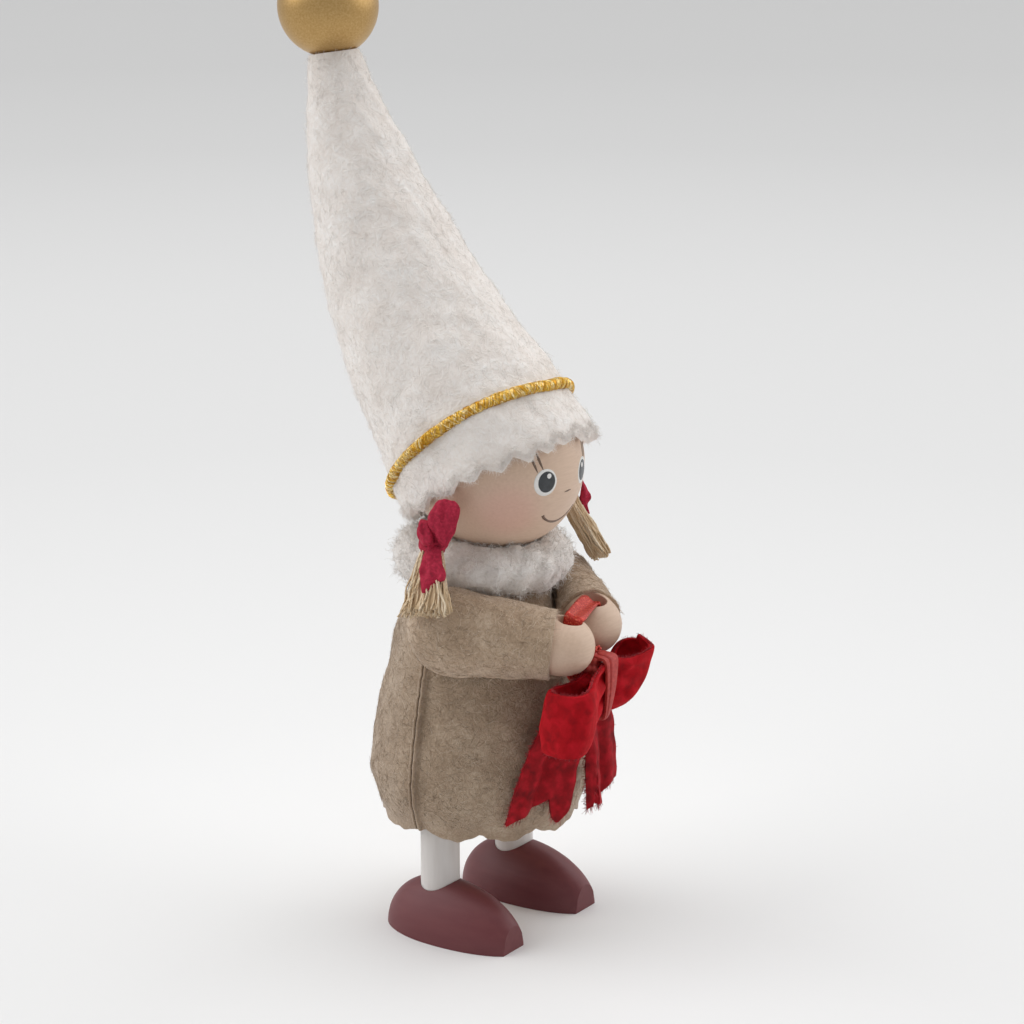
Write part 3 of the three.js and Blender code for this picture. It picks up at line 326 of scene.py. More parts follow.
# Painted shade: a darker copy of the velvet, without sheen, for the tails that hang below and behind the
# loops.
painted_shade_tail_velvet = mottled(
    "silk_velvet_painted_shade",
    ("#70050e", "#960a16", "#b81525"),
    spot_mm=1.6,
    relief_mm=0.15,
    Roughness=0.8,
    Specular_IOR_Level=0.25,
)
satin = mottled(
    "glitter_satin",
    ("#a51a15", "#c93424", "#f4896a"),
    spot_mm=0.3,
    relief_mm=0.06,
    stops=(0.35, 0.55, 0.75),
    Roughness=0.35,
    Metallic=0.25,
    IOR=1.5,
)
wrap_satin = mottled(
    "brown_red_satin",
    ("#9e302d", "#ae3a35", "#bf4740"),
    spot_mm=0.6,
    relief_mm=0.04,
    Roughness=0.5,
    IOR=1.4,
)
tie_cotton = mottled(
    "crimson_cotton",
    ("#8d0c2c", "#a61134", "#bd2646"),
    spot_mm=0.5,
    relief_mm=0.1,
    Roughness=0.85,
    IOR=1.5,
)
wire_steel = mottled(
    "drawn_steel",
    ("#8c8c8c", "#9c9c9c", "#ababab"),
    spot_mm=0.4,
    relief_mm=0.01,
    Roughness=0.35,
    Metallic=1.0,
)
wadding = wool_felt(
    "polyester_wadding", ("#e0ddd5", "#ebe8e2", "#f4f2ee"), curl_mm=1.5, blotch_mm=4, relief_mm=0.3
)

# %% [markdown]
# ## Shapes
# Most pieces are grids of points that a formula or a smooth line gives, skinned with four-sided faces.
# A cloth piece is a slab between an outer and an inner grid, and a wooden one is a stack of rings that
# is closed at both ends. So every piece is a closed body, as it would have to be to be made.

# %% Lines and grids
SAMPLES_PER_POINT = 60
BEVEL_STEPS = 3
LUMP_WAVES = 9


def resampled(line, count):
    steps = np.linalg.norm(np.diff(line, axis=0), axis=1)
    run = np.concatenate([[0], np.cumsum(steps)])
    at = np.linspace(0, run[-1], count)
    return np.stack([np.interp(at, run, column) for column in line.T], 1)


def smooth_line(points, count):
    """A smooth curve through the points, as a count of evenly spaced places."""
    points = np.asarray(points, float)
    padded = np.vstack([points[:1], points, points[-1:]])
    share = np.linspace(0, len(points) - 1, SAMPLES_PER_POINT * len(points))
    cell = np.minimum(share.astype(int), len(points) - 2)
    t = (share - cell)[:, None]
    a, b, c, d = (padded[cell + i] for i in range(4))
    bent = (2 * a - 5 * b + 4 * c - d) * t**2 + (3 * b - a - 3 * c + d) * t**3
    return resampled((2 * b + (c - a) * t + bent) / 2, count)


def quads(rows, columns, round_columns=False, round_rows=False):
    """Faces between a grid's points, as numbers of points, closed round in either direction."""
    row, column = np.meshgrid(
        np.arange(rows - (not round_rows)), np.arange(columns - (not round_columns)), indexing="ij"
    )
    below = (row + 1) % rows
    beside = (column + 1) % columns
    corners = [(row, column), (row, beside), (below, beside), (below, column)]
    return np.stack([r * columns + c for r, c in corners], -1).reshape(-1, 4)


def slab(outer, inner, round_columns=False):
    """A closed body between two grids: points and groups of faces."""
    rows, columns = outer.shape[:2]
    points = np.concatenate([outer, inner[::-1]]).reshape(-1, 3)
    groups = [quads(2 * rows, columns, round_columns, True)]
    if not round_columns:
        row = np.arange(rows - 1)
        opposite = 2 * rows - 1 - row
        for column, turn in ((0, 1), (columns - 1, -1)):
            cap = np.stack([row, row + 1, opposite - 1, opposite], 1) * columns + column
            groups.append(cap[:, ::turn])
    return points, groups


def lofted(rings):
    """A closed body through equal rings, with a fan of triangles at each end."""
    rings = np.asarray(rings, float)
    count, around = rings.shape[:2]
    points = np.concatenate([rings.reshape(-1, 3), rings[[0, -1]].mean(1)])
    here = np.arange(around)
    beside = (here + 1) % around
    last = (count - 1) * around
    first_fan = np.stack([np.full(around, count * around), beside, here], 1)
    last_fan = np.stack([np.full(around, count * around + 1), last + here, last + beside], 1)
    return points, [quads(count, around, True), first_fan, last_fan]


def volume(points, groups):
    total = 0
    for faces in groups:
        for i in range(1, faces.shape[1] - 1):
            crossed = np.cross(points[faces[:, i]], points[faces[:, i + 1]])
            total += (points[faces[:, 0]] * crossed).sum()
    return total / 6


def new_piece(name, shape, material, body, slot, *nodes):
    """Makes a closed body, faces outward, that rides on a body and replaces the named nodes."""
    points, groups = shape
    if volume(points, groups) < 0:
        groups = [faces[:, ::-1] for faces in groups]
    mesh = bpy.data.meshes.new(name)
    mesh.from_pydata(to_frame(points).tolist(), [], [f for faces in groups for f in faces.tolist()])
    mesh.polygons.foreach_set("use_smooth", [True] * len(mesh.polygons))
    mesh.materials.append(material)
    piece = bpy.data.objects.new(name, mesh)
    bpy.context.collection.objects.link(piece)
    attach(piece, body)
    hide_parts(*nodes)
    print("piece", name, len(points), "points")
    return piece


def bevelled(piece, width_mm, sharper_than=35):
    """Rounds the edges that are sharper than an angle in degrees."""
    bevel = piece.modifiers.new("softened edges", "BEVEL")
    bevel.width = width_mm / 1000
    bevel.segments = BEVEL_STEPS
    bevel.limit_method = "ANGLE"
    bevel.angle_limit = radians(sharper_than)
    bevel.harden_normals = True


def subdivided(piece, levels=1):
    modifier = piece.modifiers.new("subdivision", "SUBSURF")
    modifier.levels = modifier.render_levels = levels


def turned(profile, origin, axis, around=64):
    """Rings about an axis from pairs of radius and place along it."""
    axis = unit(np.asarray(axis, float))
    askew = (0.3, 1, 0.2)
    side = unit(np.cross(axis, askew))
    rear = np.cross(axis, side)
    angle = np.linspace(0, 2 * pi, around, endpoint=False)[:, None]
    circle = side * np.cos(angle) + rear * np.sin(angle)
    return [np.asarray(origin) + radius * circle + along * axis for radius, along in profile]


def lumps(points, size, period, seed):
    """A soft random height at each point, the sum of a few waves."""
    dice = np.random.default_rng(seed)
    total = 0
    for _ in range(LUMP_WAVES):
        way = unit(dice.normal(size=3)) * 2 * pi / (period * dice.uniform(0.6, 1.5))
        total = total + np.sin(points @ way + dice.uniform(0, 2 * pi))
    return size * total / 3


def ball_profile(radius, half_length, start, count):
    """A profile for turning: an arc from near one pole to near the other."""
    return [(radius * sin(a), -half_length * cos(a)) for a in np.linspace(*start, count)]


def normals_of(grid, round_columns=False):
    wide = np.concatenate([grid[:, -1:], grid, grid[:, :1]], 1) if round_columns else grid
    across = np.gradient(wide, axis=1)
    down = np.gradient(wide, axis=0)
    normals = unit(np.cross(across, down))
    return normals[:, 1:-1] if round_columns else normals


# %% [markdown]
# ## Strands
# Fuzz, hair and fringes are separate thin tubes with three sides, closed at both ends. They are
# scattered over a surface's grid, larger cells getting more, and each walks off in its own direction
# with a little curl. Each strand gets a cell of its own on a square texture map.

# %% Scattering and growing strands
ASKEW = (0.31, 0.52, 0.79)
CELL_MARGIN = 0.08
CELL_SIZE = 0.84
CELL_CAP = [[[0.5, 0.02], [0.52, 0.02], [0.5, 0.04]]]


def scattered(grid, count, dice, round_columns=False):
    """Random places on a grid's cells, with the normals that point away from its middle."""
    wide = np.concatenate([grid, grid[:, :1]], 1) if round_columns else grid
    a, b, c, d = wide[:-1, :-1], wide[:-1, 1:], wide[1:, 1:], wide[1:, :-1]
    crossed = np.cross(b - a, d - a).reshape(-1, 3)
    area = np.linalg.norm(crossed, axis=1)
    pick = dice.choice(len(area), count, p=area / area.sum())
    u, v = dice.random((2, count, 1))
    a, b, c, d = (corner.reshape(-1, 3)[pick] for corner in (a, b, c, d))
    places = (a * (1 - u) + b * u) * (1 - v) + (d * (1 - u) + c * u) * v
    normals = unit(crossed[pick])
    facing = ((places - wide.reshape(-1, 3).mean(0)) * normals).sum()
    return places, normals if facing > 0 else -normals


def grown(places, normals, dice, length, rise, curl, steps, sunk):
    """Fibre paths from places on a surface. A rise of 0 lies flat, and 2 nearly stands up."""
    count = len(places)
    flat = unit(np.cross(normals, dice.normal(size=(count, 3))))
    way = unit(flat + rise * dice.uniform(0.3, 1, (count, 1)) * normals)
    stride = dice.uniform(0.5, 1, (count, 1)) * length / (steps - 1)
    path = [places - sunk * normals]
    flatness = max(0, 1 - rise)
    for _ in range(steps - 1):
        path.append(path[-1] + stride * way)
        turn = curl * dice.normal(size=(count, 3))
        way = unit(way + turn - flatness * (turn * normals).sum(1, keepdims=True) * normals)
    return np.stack(path, 1)


def set_tone(piece, tones):
    tone = piece.data.attributes.new("tone", "FLOAT", "POINT")
    tone.data.foreach_set("value", np.asarray(tones, np.float32))


def strands(name, lines, radius, material, body, slot, tones, *nodes, tip=0.4):
    """One piece of thin tubes along the lines, each with a tone and a cell of the texture map."""
    count, steps = lines.shape[:2]
    along = unit(np.gradient(lines, axis=1))
    reference = unit(np.cross(along.mean(1, keepdims=True), ASKEW))
    side = unit(reference - (reference * along).sum(-1, keepdims=True) * along)
    rear = np.cross(along, side)
    thin = radius * np.linspace(1, tip, steps)[None, :, None]
    corners = [cos(2 * pi * s / 3) * side + sin(2 * pi * s / 3) * rear for s in range(3)]
    points = np.stack([lines + thin * corner for corner in corners], 2)
    start = np.arange(count)[:, None, None] * steps * 3
    j = np.arange(steps - 1)[None, :, None]
    s = np.arange(3)[None, None, :]
    beside = (s + 1) % 3
    ring = start + j * 3
    walls = [ring + s, ring + beside, ring + 3 + beside, ring + 3 + s]
    walls = np.stack(np.broadcast_arrays(*walls), -1).reshape(-1, 4)
    base = start[:, 0] + np.array([2, 1, 0])
    end = start[:, 0] + (steps - 1) * 3 + np.array([0, 1, 2])
    piece = new_piece(name, (points.reshape(-1, 3), [walls, base, end]), material, body, slot, *nodes)
    set_tone(piece, np.repeat(tones, steps * 3))
    cells = ceil(sqrt(count))
    low = np.stack([np.arange(count) % cells, np.arange(count) // cells], 1)
    u = np.stack(np.broadcast_arrays(s, s + 1, s + 1, s), -1) / 3 + 0 * j[..., None]
    v = np.stack(np.broadcast_arrays(j, j, j + 1, j + 1), -1) / (steps - 1) + 0 * s[..., None]
    wall_map = np.stack([u, v], -1).reshape(1, -1, 2)
    cap_map = np.array(CELL_CAP)
    maps = [low[:, None] + CELL_MARGIN + CELL_SIZE * part for part in (wall_map, cap_map, cap_map)]
    uv = np.concatenate([part.reshape(-1, 2) for part in maps]) / cells
    piece.data.uv_layers.new(name="OFBake").data.foreach_set("uv", uv.astype(np.float32).ravel())


def grow_over(name, grid, count, dice, form, radius, material, body, slot, closed=False, darkest=0):
    """Strands all over a grid. The form is their length, rise, curl, steps and depth of root."""
    places, normals = scattered(grid, count, dice, closed)
    lines = grown(places, normals, dice, *form)
    strands(name, lines, radius, material, body, slot, dice.uniform(darkest, 1, count))


# %% [markdown]
# ## Shoes and legs
# Each shoe is an egg turned from beech, sawn flat under the sole and square across the toe, and drilled
# for its leg. A boolean cut would leave a messy mesh, so its surface is found along vertical planes
# through the leg instead: out from the hole over the egg, down the sawn toe, and back under the sole.
# A fine bevel stands for the sanded edges. The legs are dowels in white paint.

# %% Shoes and legs
LEG_OUT = 10.3
LEG_RADIUS = 3.2
LEG_LOW = 2.9
LEG_HIGH = 30.3
SHOE_HALF_WIDTH = 6.1
SHOE_HEIGHT = 9.5
SHOE_HEEL = 11.1
SHOE_TOE = 15.5
SHOE_AHEAD = 1
TOE_SAWN_AT = -14.8
SOLE = 2.6
LEG_CLEARANCE = 0.08
JUST_INSIDE = 0.99999
TOE_POINTS = 14
SIDE_POINTS = 84
BISECTIONS = 40


def egg_height(x, y):
    ahead = y + SHOE_AHEAD
    length = np.where(ahead > 0, SHOE_HEEL, SHOE_TOE)
    return SHOE_HEIGHT * np.sqrt(np.maximum(0, 1 - (x / SHOE_HALF_WIDTH) ** 2 - (ahead / length) ** 2))


def shoe_edge(angle):
    """How far the sole's outline is from the leg's middle in one direction."""
    x, y = np.sin(angle), np.cos(angle)
    low, high = np.zeros_like(angle), np.full_like(angle, 30.0)
    for _ in range(BISECTIONS):
        middle = (low + high) / 2
        inside = (egg_height(middle * x, middle * y) > 0) & (middle * y > TOE_SAWN_AT)
        low, high = np.where(inside, middle, low), np.where(inside, high, middle)
    return low


def shoe_shape():
    sawn_half_width = SHOE_HALF_WIDTH * sqrt(1 - ((TOE_SAWN_AT + SHOE_AHEAD) / SHOE_TOE) ** 2)
    corner = np.arctan2(sawn_half_width, TOE_SAWN_AT)
    toe = np.linspace(corner, 2 * pi - corner, TOE_POINTS)
    rest = np.linspace(-corner, corner, SIDE_POINTS)[1:-1]
    angle = np.concatenate([rest, toe])
    edge = shoe_edge(angle)
    way = np.stack([np.sin(angle), np.cos(angle)], 1)
    hole = LEG_RADIUS + LEG_CLEARANCE
    rings = [(0.4 * hole, SOLE), (hole, SOLE)]
    rings = [np.column_stack([way * radius, np.full(len(angle), z)]) for radius, z in rings]
    for share in np.sin(np.linspace(0, pi / 2, 20)):
        flat = way * (hole + share * (edge - hole))[:, None]
        rings.append(np.column_stack([flat, egg_height(*(JUST_INSIDE * flat).T)]))
    for radius in (1.0, 0.6, 0.2):
        rings.append(np.column_stack([way * (radius * edge)[:, None], np.zeros(len(angle))]))
    return np.array(rings)


shoe_rings = shoe_shape()
for name, side in (("right", -1), ("left", 1)):
    middle = np.array([side * LEG_OUT, 0, 0])
    egg = lofted(shoe_rings + middle)
    shoe = new_piece(f"{name}_turned_shoe", egg, maroon_paint, "figure", "shoe_paint", f"{name}_shoe")
    bevelled(shoe, 0.3)
    dowel = turned([(LEG_RADIUS, LEG_LOW), (LEG_RADIUS, LEG_HIGH)], middle, (0, 0, 1))
    leg = new_piece(f"{name}_dowel", lofted(dowel), white_paint, "figure", "leg_paint", f"{name}_leg")
    bevelled(leg, 0.2)

# %% [markdown]
# ## Head and face
# The head is a turned ball with a bore for the neck peg. The face is painted on in thick enamel, so each
# spot and line is a very thin curved body of its own on the ball, with crisp edges from any distance.
# The blush is rubbed in without an edge, so it belongs to the wood's colour instead.

# %% Head ball
HEAD = np.array([0, -4.06, 78.0])
HEAD_RADIUS = 14
NECK_BORE = 2.5
NECK_BORE_DEPTH = 9.3
BLUSH_OUT = 46
BLUSH_DOWN = 21
STROKE_POINTS = 28


def on_head(azimuth, elevation, above=0.0):
    """A place on the ball, in degrees to the figure's left of its nose and up."""
    a, e = np.radians(azimuth), np.radians(elevation)
    way = np.stack([np.sin(a) * np.cos(e), -np.cos(a) * np.cos(e), np.sin(e)], -1)
    return HEAD + (HEAD_RADIUS + above) * way


BLUSH = [on_head(azimuth, -BLUSH_DOWN) for azimuth in (-BLUSH_OUT, BLUSH_OUT)]
face_wood = varnished_beech("varnished_beech_face", BLUSH)
hand_wood = varnished_beech("varnished_beech_hand")
bore_angle = np.arcsin(NECK_BORE / HEAD_RADIUS)
arc = ball_profile(HEAD_RADIUS, HEAD_RADIUS, (bore_angle, pi - 0.02), 64)
bore_top = NECK_BORE_DEPTH - HEAD_RADIUS
profile = [(0.5, bore_top), (NECK_BORE, bore_top), *arc]
ball = lofted(turned(profile, HEAD, (0, 0, 1), 96))
new_piece("head_ball", ball, face_wood, "head", "face_wood", "head")

# %% Painted face
eye_white = mottled("white_enamel", ("#e4e2de", "#ebe9e6", "#f1efec"), 1, 0.01, Roughness=0.35)
eye_dark = mottled("dark_grey_enamel", ("#2a2d30", "#323538", "#3c4044"), 1, 0.01, Roughness=0.3)
brown_line = mottled("brown_enamel", ("#5a4436", "#6c5444", "#7d6453"), 0.8, 0.01, Roughness=0.4)

# Azimuth, elevation, width, height, thickness and paint of each spot round an eye
EYE_SPOTS = {
    "eye_white": (20.9, -1.9, 4.3, 4.4, 0.04, eye_white),
    "pupil": (20.1, -1.6, 3.2, 3.4, 0.08, eye_dark),
    "eye_glint": (18.5, 2.2, 0.8, 0.8, 0.12, eye_white),
}
# Azimuth and elevation of each lash's top, of the way down from it, and its width from top to end
LASHES = {"outer": (-30.8, 16.7), "inner": (-26.6, 18.0)}
LASH_WAY = ((0, 0), (1.6, -5.4), (3.9, -11.2))
LASH_WIDTHS = (0.12, 0.48, 0.4, 0.15)
NOSE = [(-3.3, -11.3), (0, -11.1), (3.3, -10.9)]
NOSE_WIDTHS = (0.12, 0.32, 0.12)
SMILE = [(-19, -26), (-17, -28.6), (-10, -32.6), (0, -34.6), (10, -32.6), (17, -28.6), (19, -26)]
SMILE_WIDTHS = (0.55, 0.36, 0.5, 0.5, 0.36, 0.55)
LINE_HEIGHT = 0.06


def spot(name, azimuth, elevation, width, height, above, material):
    centre = on_head(azimuth, elevation)
    out = unit(centre - HEAD)
    across = unit(np.cross((0, 0, 1), out))
    up = np.cross(out, across)
    angle = np.linspace(0, 2 * pi, 40, endpoint=False)[:, None]
    rim = across * np.cos(angle) * width / 2 + up * np.sin(angle) * height / 2
    levels = [(0.05, above), (0.6, above), (0.93, above), (1, above - 0.03), (1, -0.1), (0.05, -0.1)]
    rings = [HEAD + unit(centre - HEAD + share * rim) * (HEAD_RADIUS + lift) for share, lift in levels]
    new_piece(name, lofted(rings), material, "head", "face_wood")


def stroke(name, places, widths):
    line = smooth_line([on_head(*place) for place in places], STROKE_POINTS)
    out = unit(line - HEAD)
    across = unit(np.cross(out, np.gradient(line, axis=0)))
    share = np.linspace(0, 1, STROKE_POINTS)
    width = np.interp(share, np.linspace(0, 1, len(widths)), widths)[:, None]
    rings = []
    for angle in np.linspace(0, 2 * pi, 8, endpoint=False):
        lift = HEAD_RADIUS + LINE_HEIGHT * sin(angle)
        rings.append(HEAD + out * lift + across * width / 2 * cos(angle))
    new_piece(name, lofted(np.stack(rings, 1)), brown_line, "head", "face_wood")


for name, side in (("right", -1), ("left", 1)):
    for what, (azimuth, *rest) in EYE_SPOTS.items():
        spot(f"{name}_{what}", side * azimuth, *rest)
    for at, (azimuth, top) in LASHES.items():
        lash = [(-side * (azimuth + across), top + up) for across, up in LASH_WAY]
        stroke(f"{name}_{at}_lash", lash, LASH_WIDTHS)
stroke("nose_dash", NOSE, NOSE_WIDTHS)
stroke("smile_line", SMILE, SMILE_WIDTHS)

# %% [markdown]
# ## Coat
# The coat is two felt panels, sewn together at the sides with the raw edges turned outwards, and cut in
# scallops at the hem. A cloth simulation would lose the firm bell shape that stiff felt keeps, so each
# panel is a slab that follows the body, with soft dents. Short fibres lie and stand all over it.

# %% Coat outline
HEM_Z = 19.6
NECKLINE_Z = 57.9
BODY_Y = -0.6
COAT_FELT = 1.4
SEAM_OUT = 0.9
SEAM_LIP = 0.45
SEAM_GAP = 0.1
SCALLOPS = 5
SCALLOP_TOP = 0.5
SCALLOP_DEPTH = 1.6
COAT_MEAN_RADIUS = 16
COAT_OUTLINE = [(16.2, HEM_Z), (17.9, HEM_Z + 8.4), (15.1, HEM_Z + 24.4), (11, NECKLINE_Z)]
outline = smooth_line(COAT_OUTLINE, 400)

# Length, rise, curl, steps and depth of root of the felt's fibres that lie and that stand
COAT_LYING = (2.1, 0.04, 0.35, 5, 0.02)
SLEEVE_LYING = (2.0, 0.04, 0.35, 5, 0.02)
FELT_FUZZ = (0.65, 0.9, 0.5, 4, 0.15)
FIBRE_RADIUS = 0.032
FUZZ_RADIUS = 0.022
FUZZ_DARKEST = 0.3


def coat_radius(z):
    return np.interp(z, outline[:, 1], outline[:, 0])


def coat_grid(facing, depth, rows=48, columns=84):
    """One face of a panel, with a scalloped hem cut slightly unevenly and a lip at either seam."""
    share = np.linspace(0, 1, columns)
    lobe = np.abs(np.sin(pi * share * SCALLOPS + 0.25 * np.sin(9 * share + facing)))
    nicks = 0.12 * np.sin(71 * share + facing) + 0.09 * np.sin(127 * share)
    lowest = HEM_Z + SCALLOP_TOP - SCALLOP_DEPTH * lobe**0.7 + nicks
    down = np.linspace(0, 1, rows)[:, None]
    z = lowest + (NECKLINE_Z - lowest) * down
    radius = coat_radius(z) - depth
    start = np.arcsin((SEAM_GAP + SEAM_LIP * (1 - depth / COAT_FELT)) / radius)
    angle = start + (pi - 2 * start) * share
    x = radius * np.cos(angle)
    y = BODY_Y + facing * radius * np.sin(angle)
    grid = np.stack([x, y, z], -1)
    lips = []
    for corner, side in ((grid[:, 0], 1), (grid[:, -1], -1)):
        wobble = 0.08 * np.sin(corner[:, 2] * 1.9 + side) + 0.06 * np.sin(corner[:, 2] * 4.1)
        tip = corner.copy()
        tip[:, 0] = side * (coat_radius(corner[:, 2]) + SEAM_OUT + wobble)
        lips.append(tip)
    return np.concatenate([lips[0][:, None], grid, lips[1][:, None]], 1)


for name, facing in (("front", -1), ("back", 1)):
    outer = coat_grid(facing, 0)
    inner = coat_grid(facing, COAT_FELT)
    outward = (outer - (0, BODY_Y, 0)) * (1, 1, 0)
    dents = lumps(outer, 0.16, 7, 11)[..., None] * outward / COAT_MEAN_RADIUS
    dents[:, [0, -1]] = 0
    outer = outer + dents
    cloth = slab(outer, inner)
    panel = new_piece(f"{name}_coat_panel", cloth, coat_felt, "figure", "coat_felt", f"coat_{name}")
    bevelled(panel, 0.35, 50)
    dice = np.random.default_rng(21 + facing)
    wool = (coat_fibre, "figure", "coat_felt")
    above_hem = outer[3:, 1:-1]
    grow_over(f"{name}_coat_fibres", above_hem, 6500, dice, COAT_LYING, FIBRE_RADIUS, *wool)
    face = outer[1:, 1:-1]
    grow_over(f"{name}_coat_fuzz", face, 4500, dice, FELT_FUZZ, FUZZ_RADIUS, *wool, darkest=FUZZ_DARKEST)

# %% [markdown]
# ## Arms
# One wire runs through the body and holds both arms forward. Each sleeve is a tube of the coat's felt,
# firmly filled, with its seam underneath, and it presses against the coat. A small pad of the same felt
# closes the gap between sleeve and coat behind, where the wire would show. Each hand is a round-ended
# peg that is drilled from above for the ribbon. Its surface is found along rays from the hole's middle.

# %% Sleeves and hands
SHOULDER = np.array([0, BODY_Y, NECKLINE_Z - 4])
ELBOW_HALF_WIDTH = 5.4
ELBOW_HALF_HEIGHT = 7
ELBOW_BACK = 6.8
CUFF_RADIUS = 5.4
CUFF_FELT = 0.7
HAND_RADIUS = 4.8
HAND_SHANK = 1.4
HOLE_RADIUS = 2.1
HOLE_FROM_CUFF = 2.4
ROUND_END_BEHIND_HOLE = HAND_RADIUS / 7
ELBOW_OUT = 14.8
ELBOW_AHEAD = 5.2
HAND_OUT = 5.5
HAND_DOWN = 2
HANDS_AHEAD = {"right": 21.4, "left": 18.6}
SLEEVE_SEAM = 0.7
SLEEVE_OFF_COAT = 1.1
CAP_ROWS = 16
POCKET_DEPTHS = (0.0, -1.2, -3.0)
POCKET_FLOOR_SHARE = 0.3
RAY_LENGTH = 15.0
RAY_BISECTIONS = 34
SHOULDER_PAD_RADIUS = 3.5
SHOULDER_PAD_HALF_LENGTH = 3.6
SHOULDER_PAD_OUT = 12.6
SHOULDER_PAD_AHEAD = 1.2
SHOULDER_PAD_TALLER = 0.35
Z = np.array([0, 0, 1.0])


def arm_lines(side, ahead):
    """Where an arm's elbow, cuff and hole are, and its own three directions."""
    elbow = SHOULDER + (side * ELBOW_OUT, -ELBOW_AHEAD, 0)
    hole = SHOULDER + (side * HAND_OUT, -ahead, -HAND_DOWN)
    forward = unit(hole - elbow)
    outward = unit(np.cross(Z, forward)) * side
    upward = unit(np.cross(forward, outward)) * side
    cuff = hole - HOLE_FROM_CUFF * forward
    ways = {"forward": forward, "outward": outward, "upward": upward}
    return {"side": side, "elbow": elbow, "hole": hole, "cuff": cuff, **ways}


ARMS = {
    "right": arm_lines(-1, HANDS_AHEAD["right"]),
    "left": arm_lines(1, HANDS_AHEAD["left"]),
}


def pressed(points, margin):
    """Moves points that lie inside the coat out to its surface and a margin more."""
    flat = points - (0, BODY_Y, 0)
    distance = np.hypot(flat[..., 0], flat[..., 1])
    limit = coat_radius(points[..., 2]) + margin
    grow = np.maximum(1, limit / np.maximum(distance, 0.1))
    grow = np.where((points[..., 2] < NECKLINE_Z + 1) & (distance > 5), grow, 1)
    return (flat * np.stack([grow, grow, np.ones_like(grow)], -1)) + (0, BODY_Y, 0)


def sleeve_grid(arm, rows=44, columns=64):
    """Rings from the rounded elbow to the cuff, with a seam that stands up underneath."""
    length = np.linalg.norm(arm["cuff"] - arm["elbow"])
    angle = np.linspace(0, 2 * pi, columns, endpoint=False)
    cap = [(-ELBOW_BACK * cos(a), sin(a), 0) for a in np.linspace(0.06, pi / 2, CAP_ROWS)]
    arm_part = [(length * t, 1, t) for t in np.linspace(0, 1, rows - CAP_ROWS + 1)[1:]]
    rings = []
    for along, scale, taper in cap + arm_part:
        width = scale * (ELBOW_HALF_WIDTH + (CUFF_RADIUS - ELBOW_HALF_WIDTH) * taper)
        height = scale * (ELBOW_HALF_HEIGHT + (CUFF_RADIUS - ELBOW_HALF_HEIGHT) * taper)
        seam = SLEEVE_SEAM * scale * np.exp(-(((angle - 1.5 * pi) / 0.07) ** 2))
        ring = arm["elbow"] + arm["forward"] * along
        ring = ring + arm["outward"] * (width * np.cos(angle))[:, None]
        ring = ring + arm["upward"] * ((height + seam) * np.sin(angle))[:, None]
        rings.append(ring)
    return np.array(rings)


def hand_shape(arm):
    """A peg with a round end and an upright hole: its outside, and then the hole's wall."""
    centre = HOLE_FROM_CUFF - ROUND_END_BEHIND_HOLE

    def inside(points):
        offset = points - arm["cuff"]
        along = offset @ arm["forward"]
        from_line = np.linalg.norm(offset - along[..., None] * arm["forward"], axis=-1)
        from_end = np.hypot(from_line, np.maximum(along - centre, 0))
        return (from_end < HAND_RADIUS) & (along > -HAND_SHANK)

    def reach(starts, ways):
        low, high = np.zeros(ways.shape[:-1]), np.full(ways.shape[:-1], RAY_LENGTH)
        for _ in range(RAY_BISECTIONS):
            middle = (low + high) / 2
            hit = inside(starts + ways * middle[..., None])
            low, high = np.where(hit, middle, low), np.where(hit, high, middle)
        return starts + ways * low[..., None]

    angle = np.linspace(0, 2 * pi, 72, endpoint=False)
    way = np.stack([np.cos(angle), np.sin(angle), 0 * angle], -1)
    rim_starts = arm["hole"] + HOLE_RADIUS * way
    top = reach(rim_starts, np.broadcast_to(Z, way.shape))
    bottom = reach(rim_starts, np.broadcast_to(-Z, way.shape))
    high = np.arctan2(top[:, 2] - arm["hole"][2], HOLE_RADIUS)
    low = np.arctan2(bottom[:, 2] - arm["hole"][2], HOLE_RADIUS)
    share = np.linspace(0, 1, 40)[:, None]
    lift = (high + (low - high) * share)[..., None]
    surface = reach(arm["hole"], way * np.cos(lift) + Z * np.sin(lift))
    wall = [bottom + (top - bottom) * t for t in np.linspace(0, 1, 8)[1:-1]]
    grid = np.concatenate([surface, wall])
    return grid.reshape(-1, 3), [quads(len(grid), len(angle), True, True)]


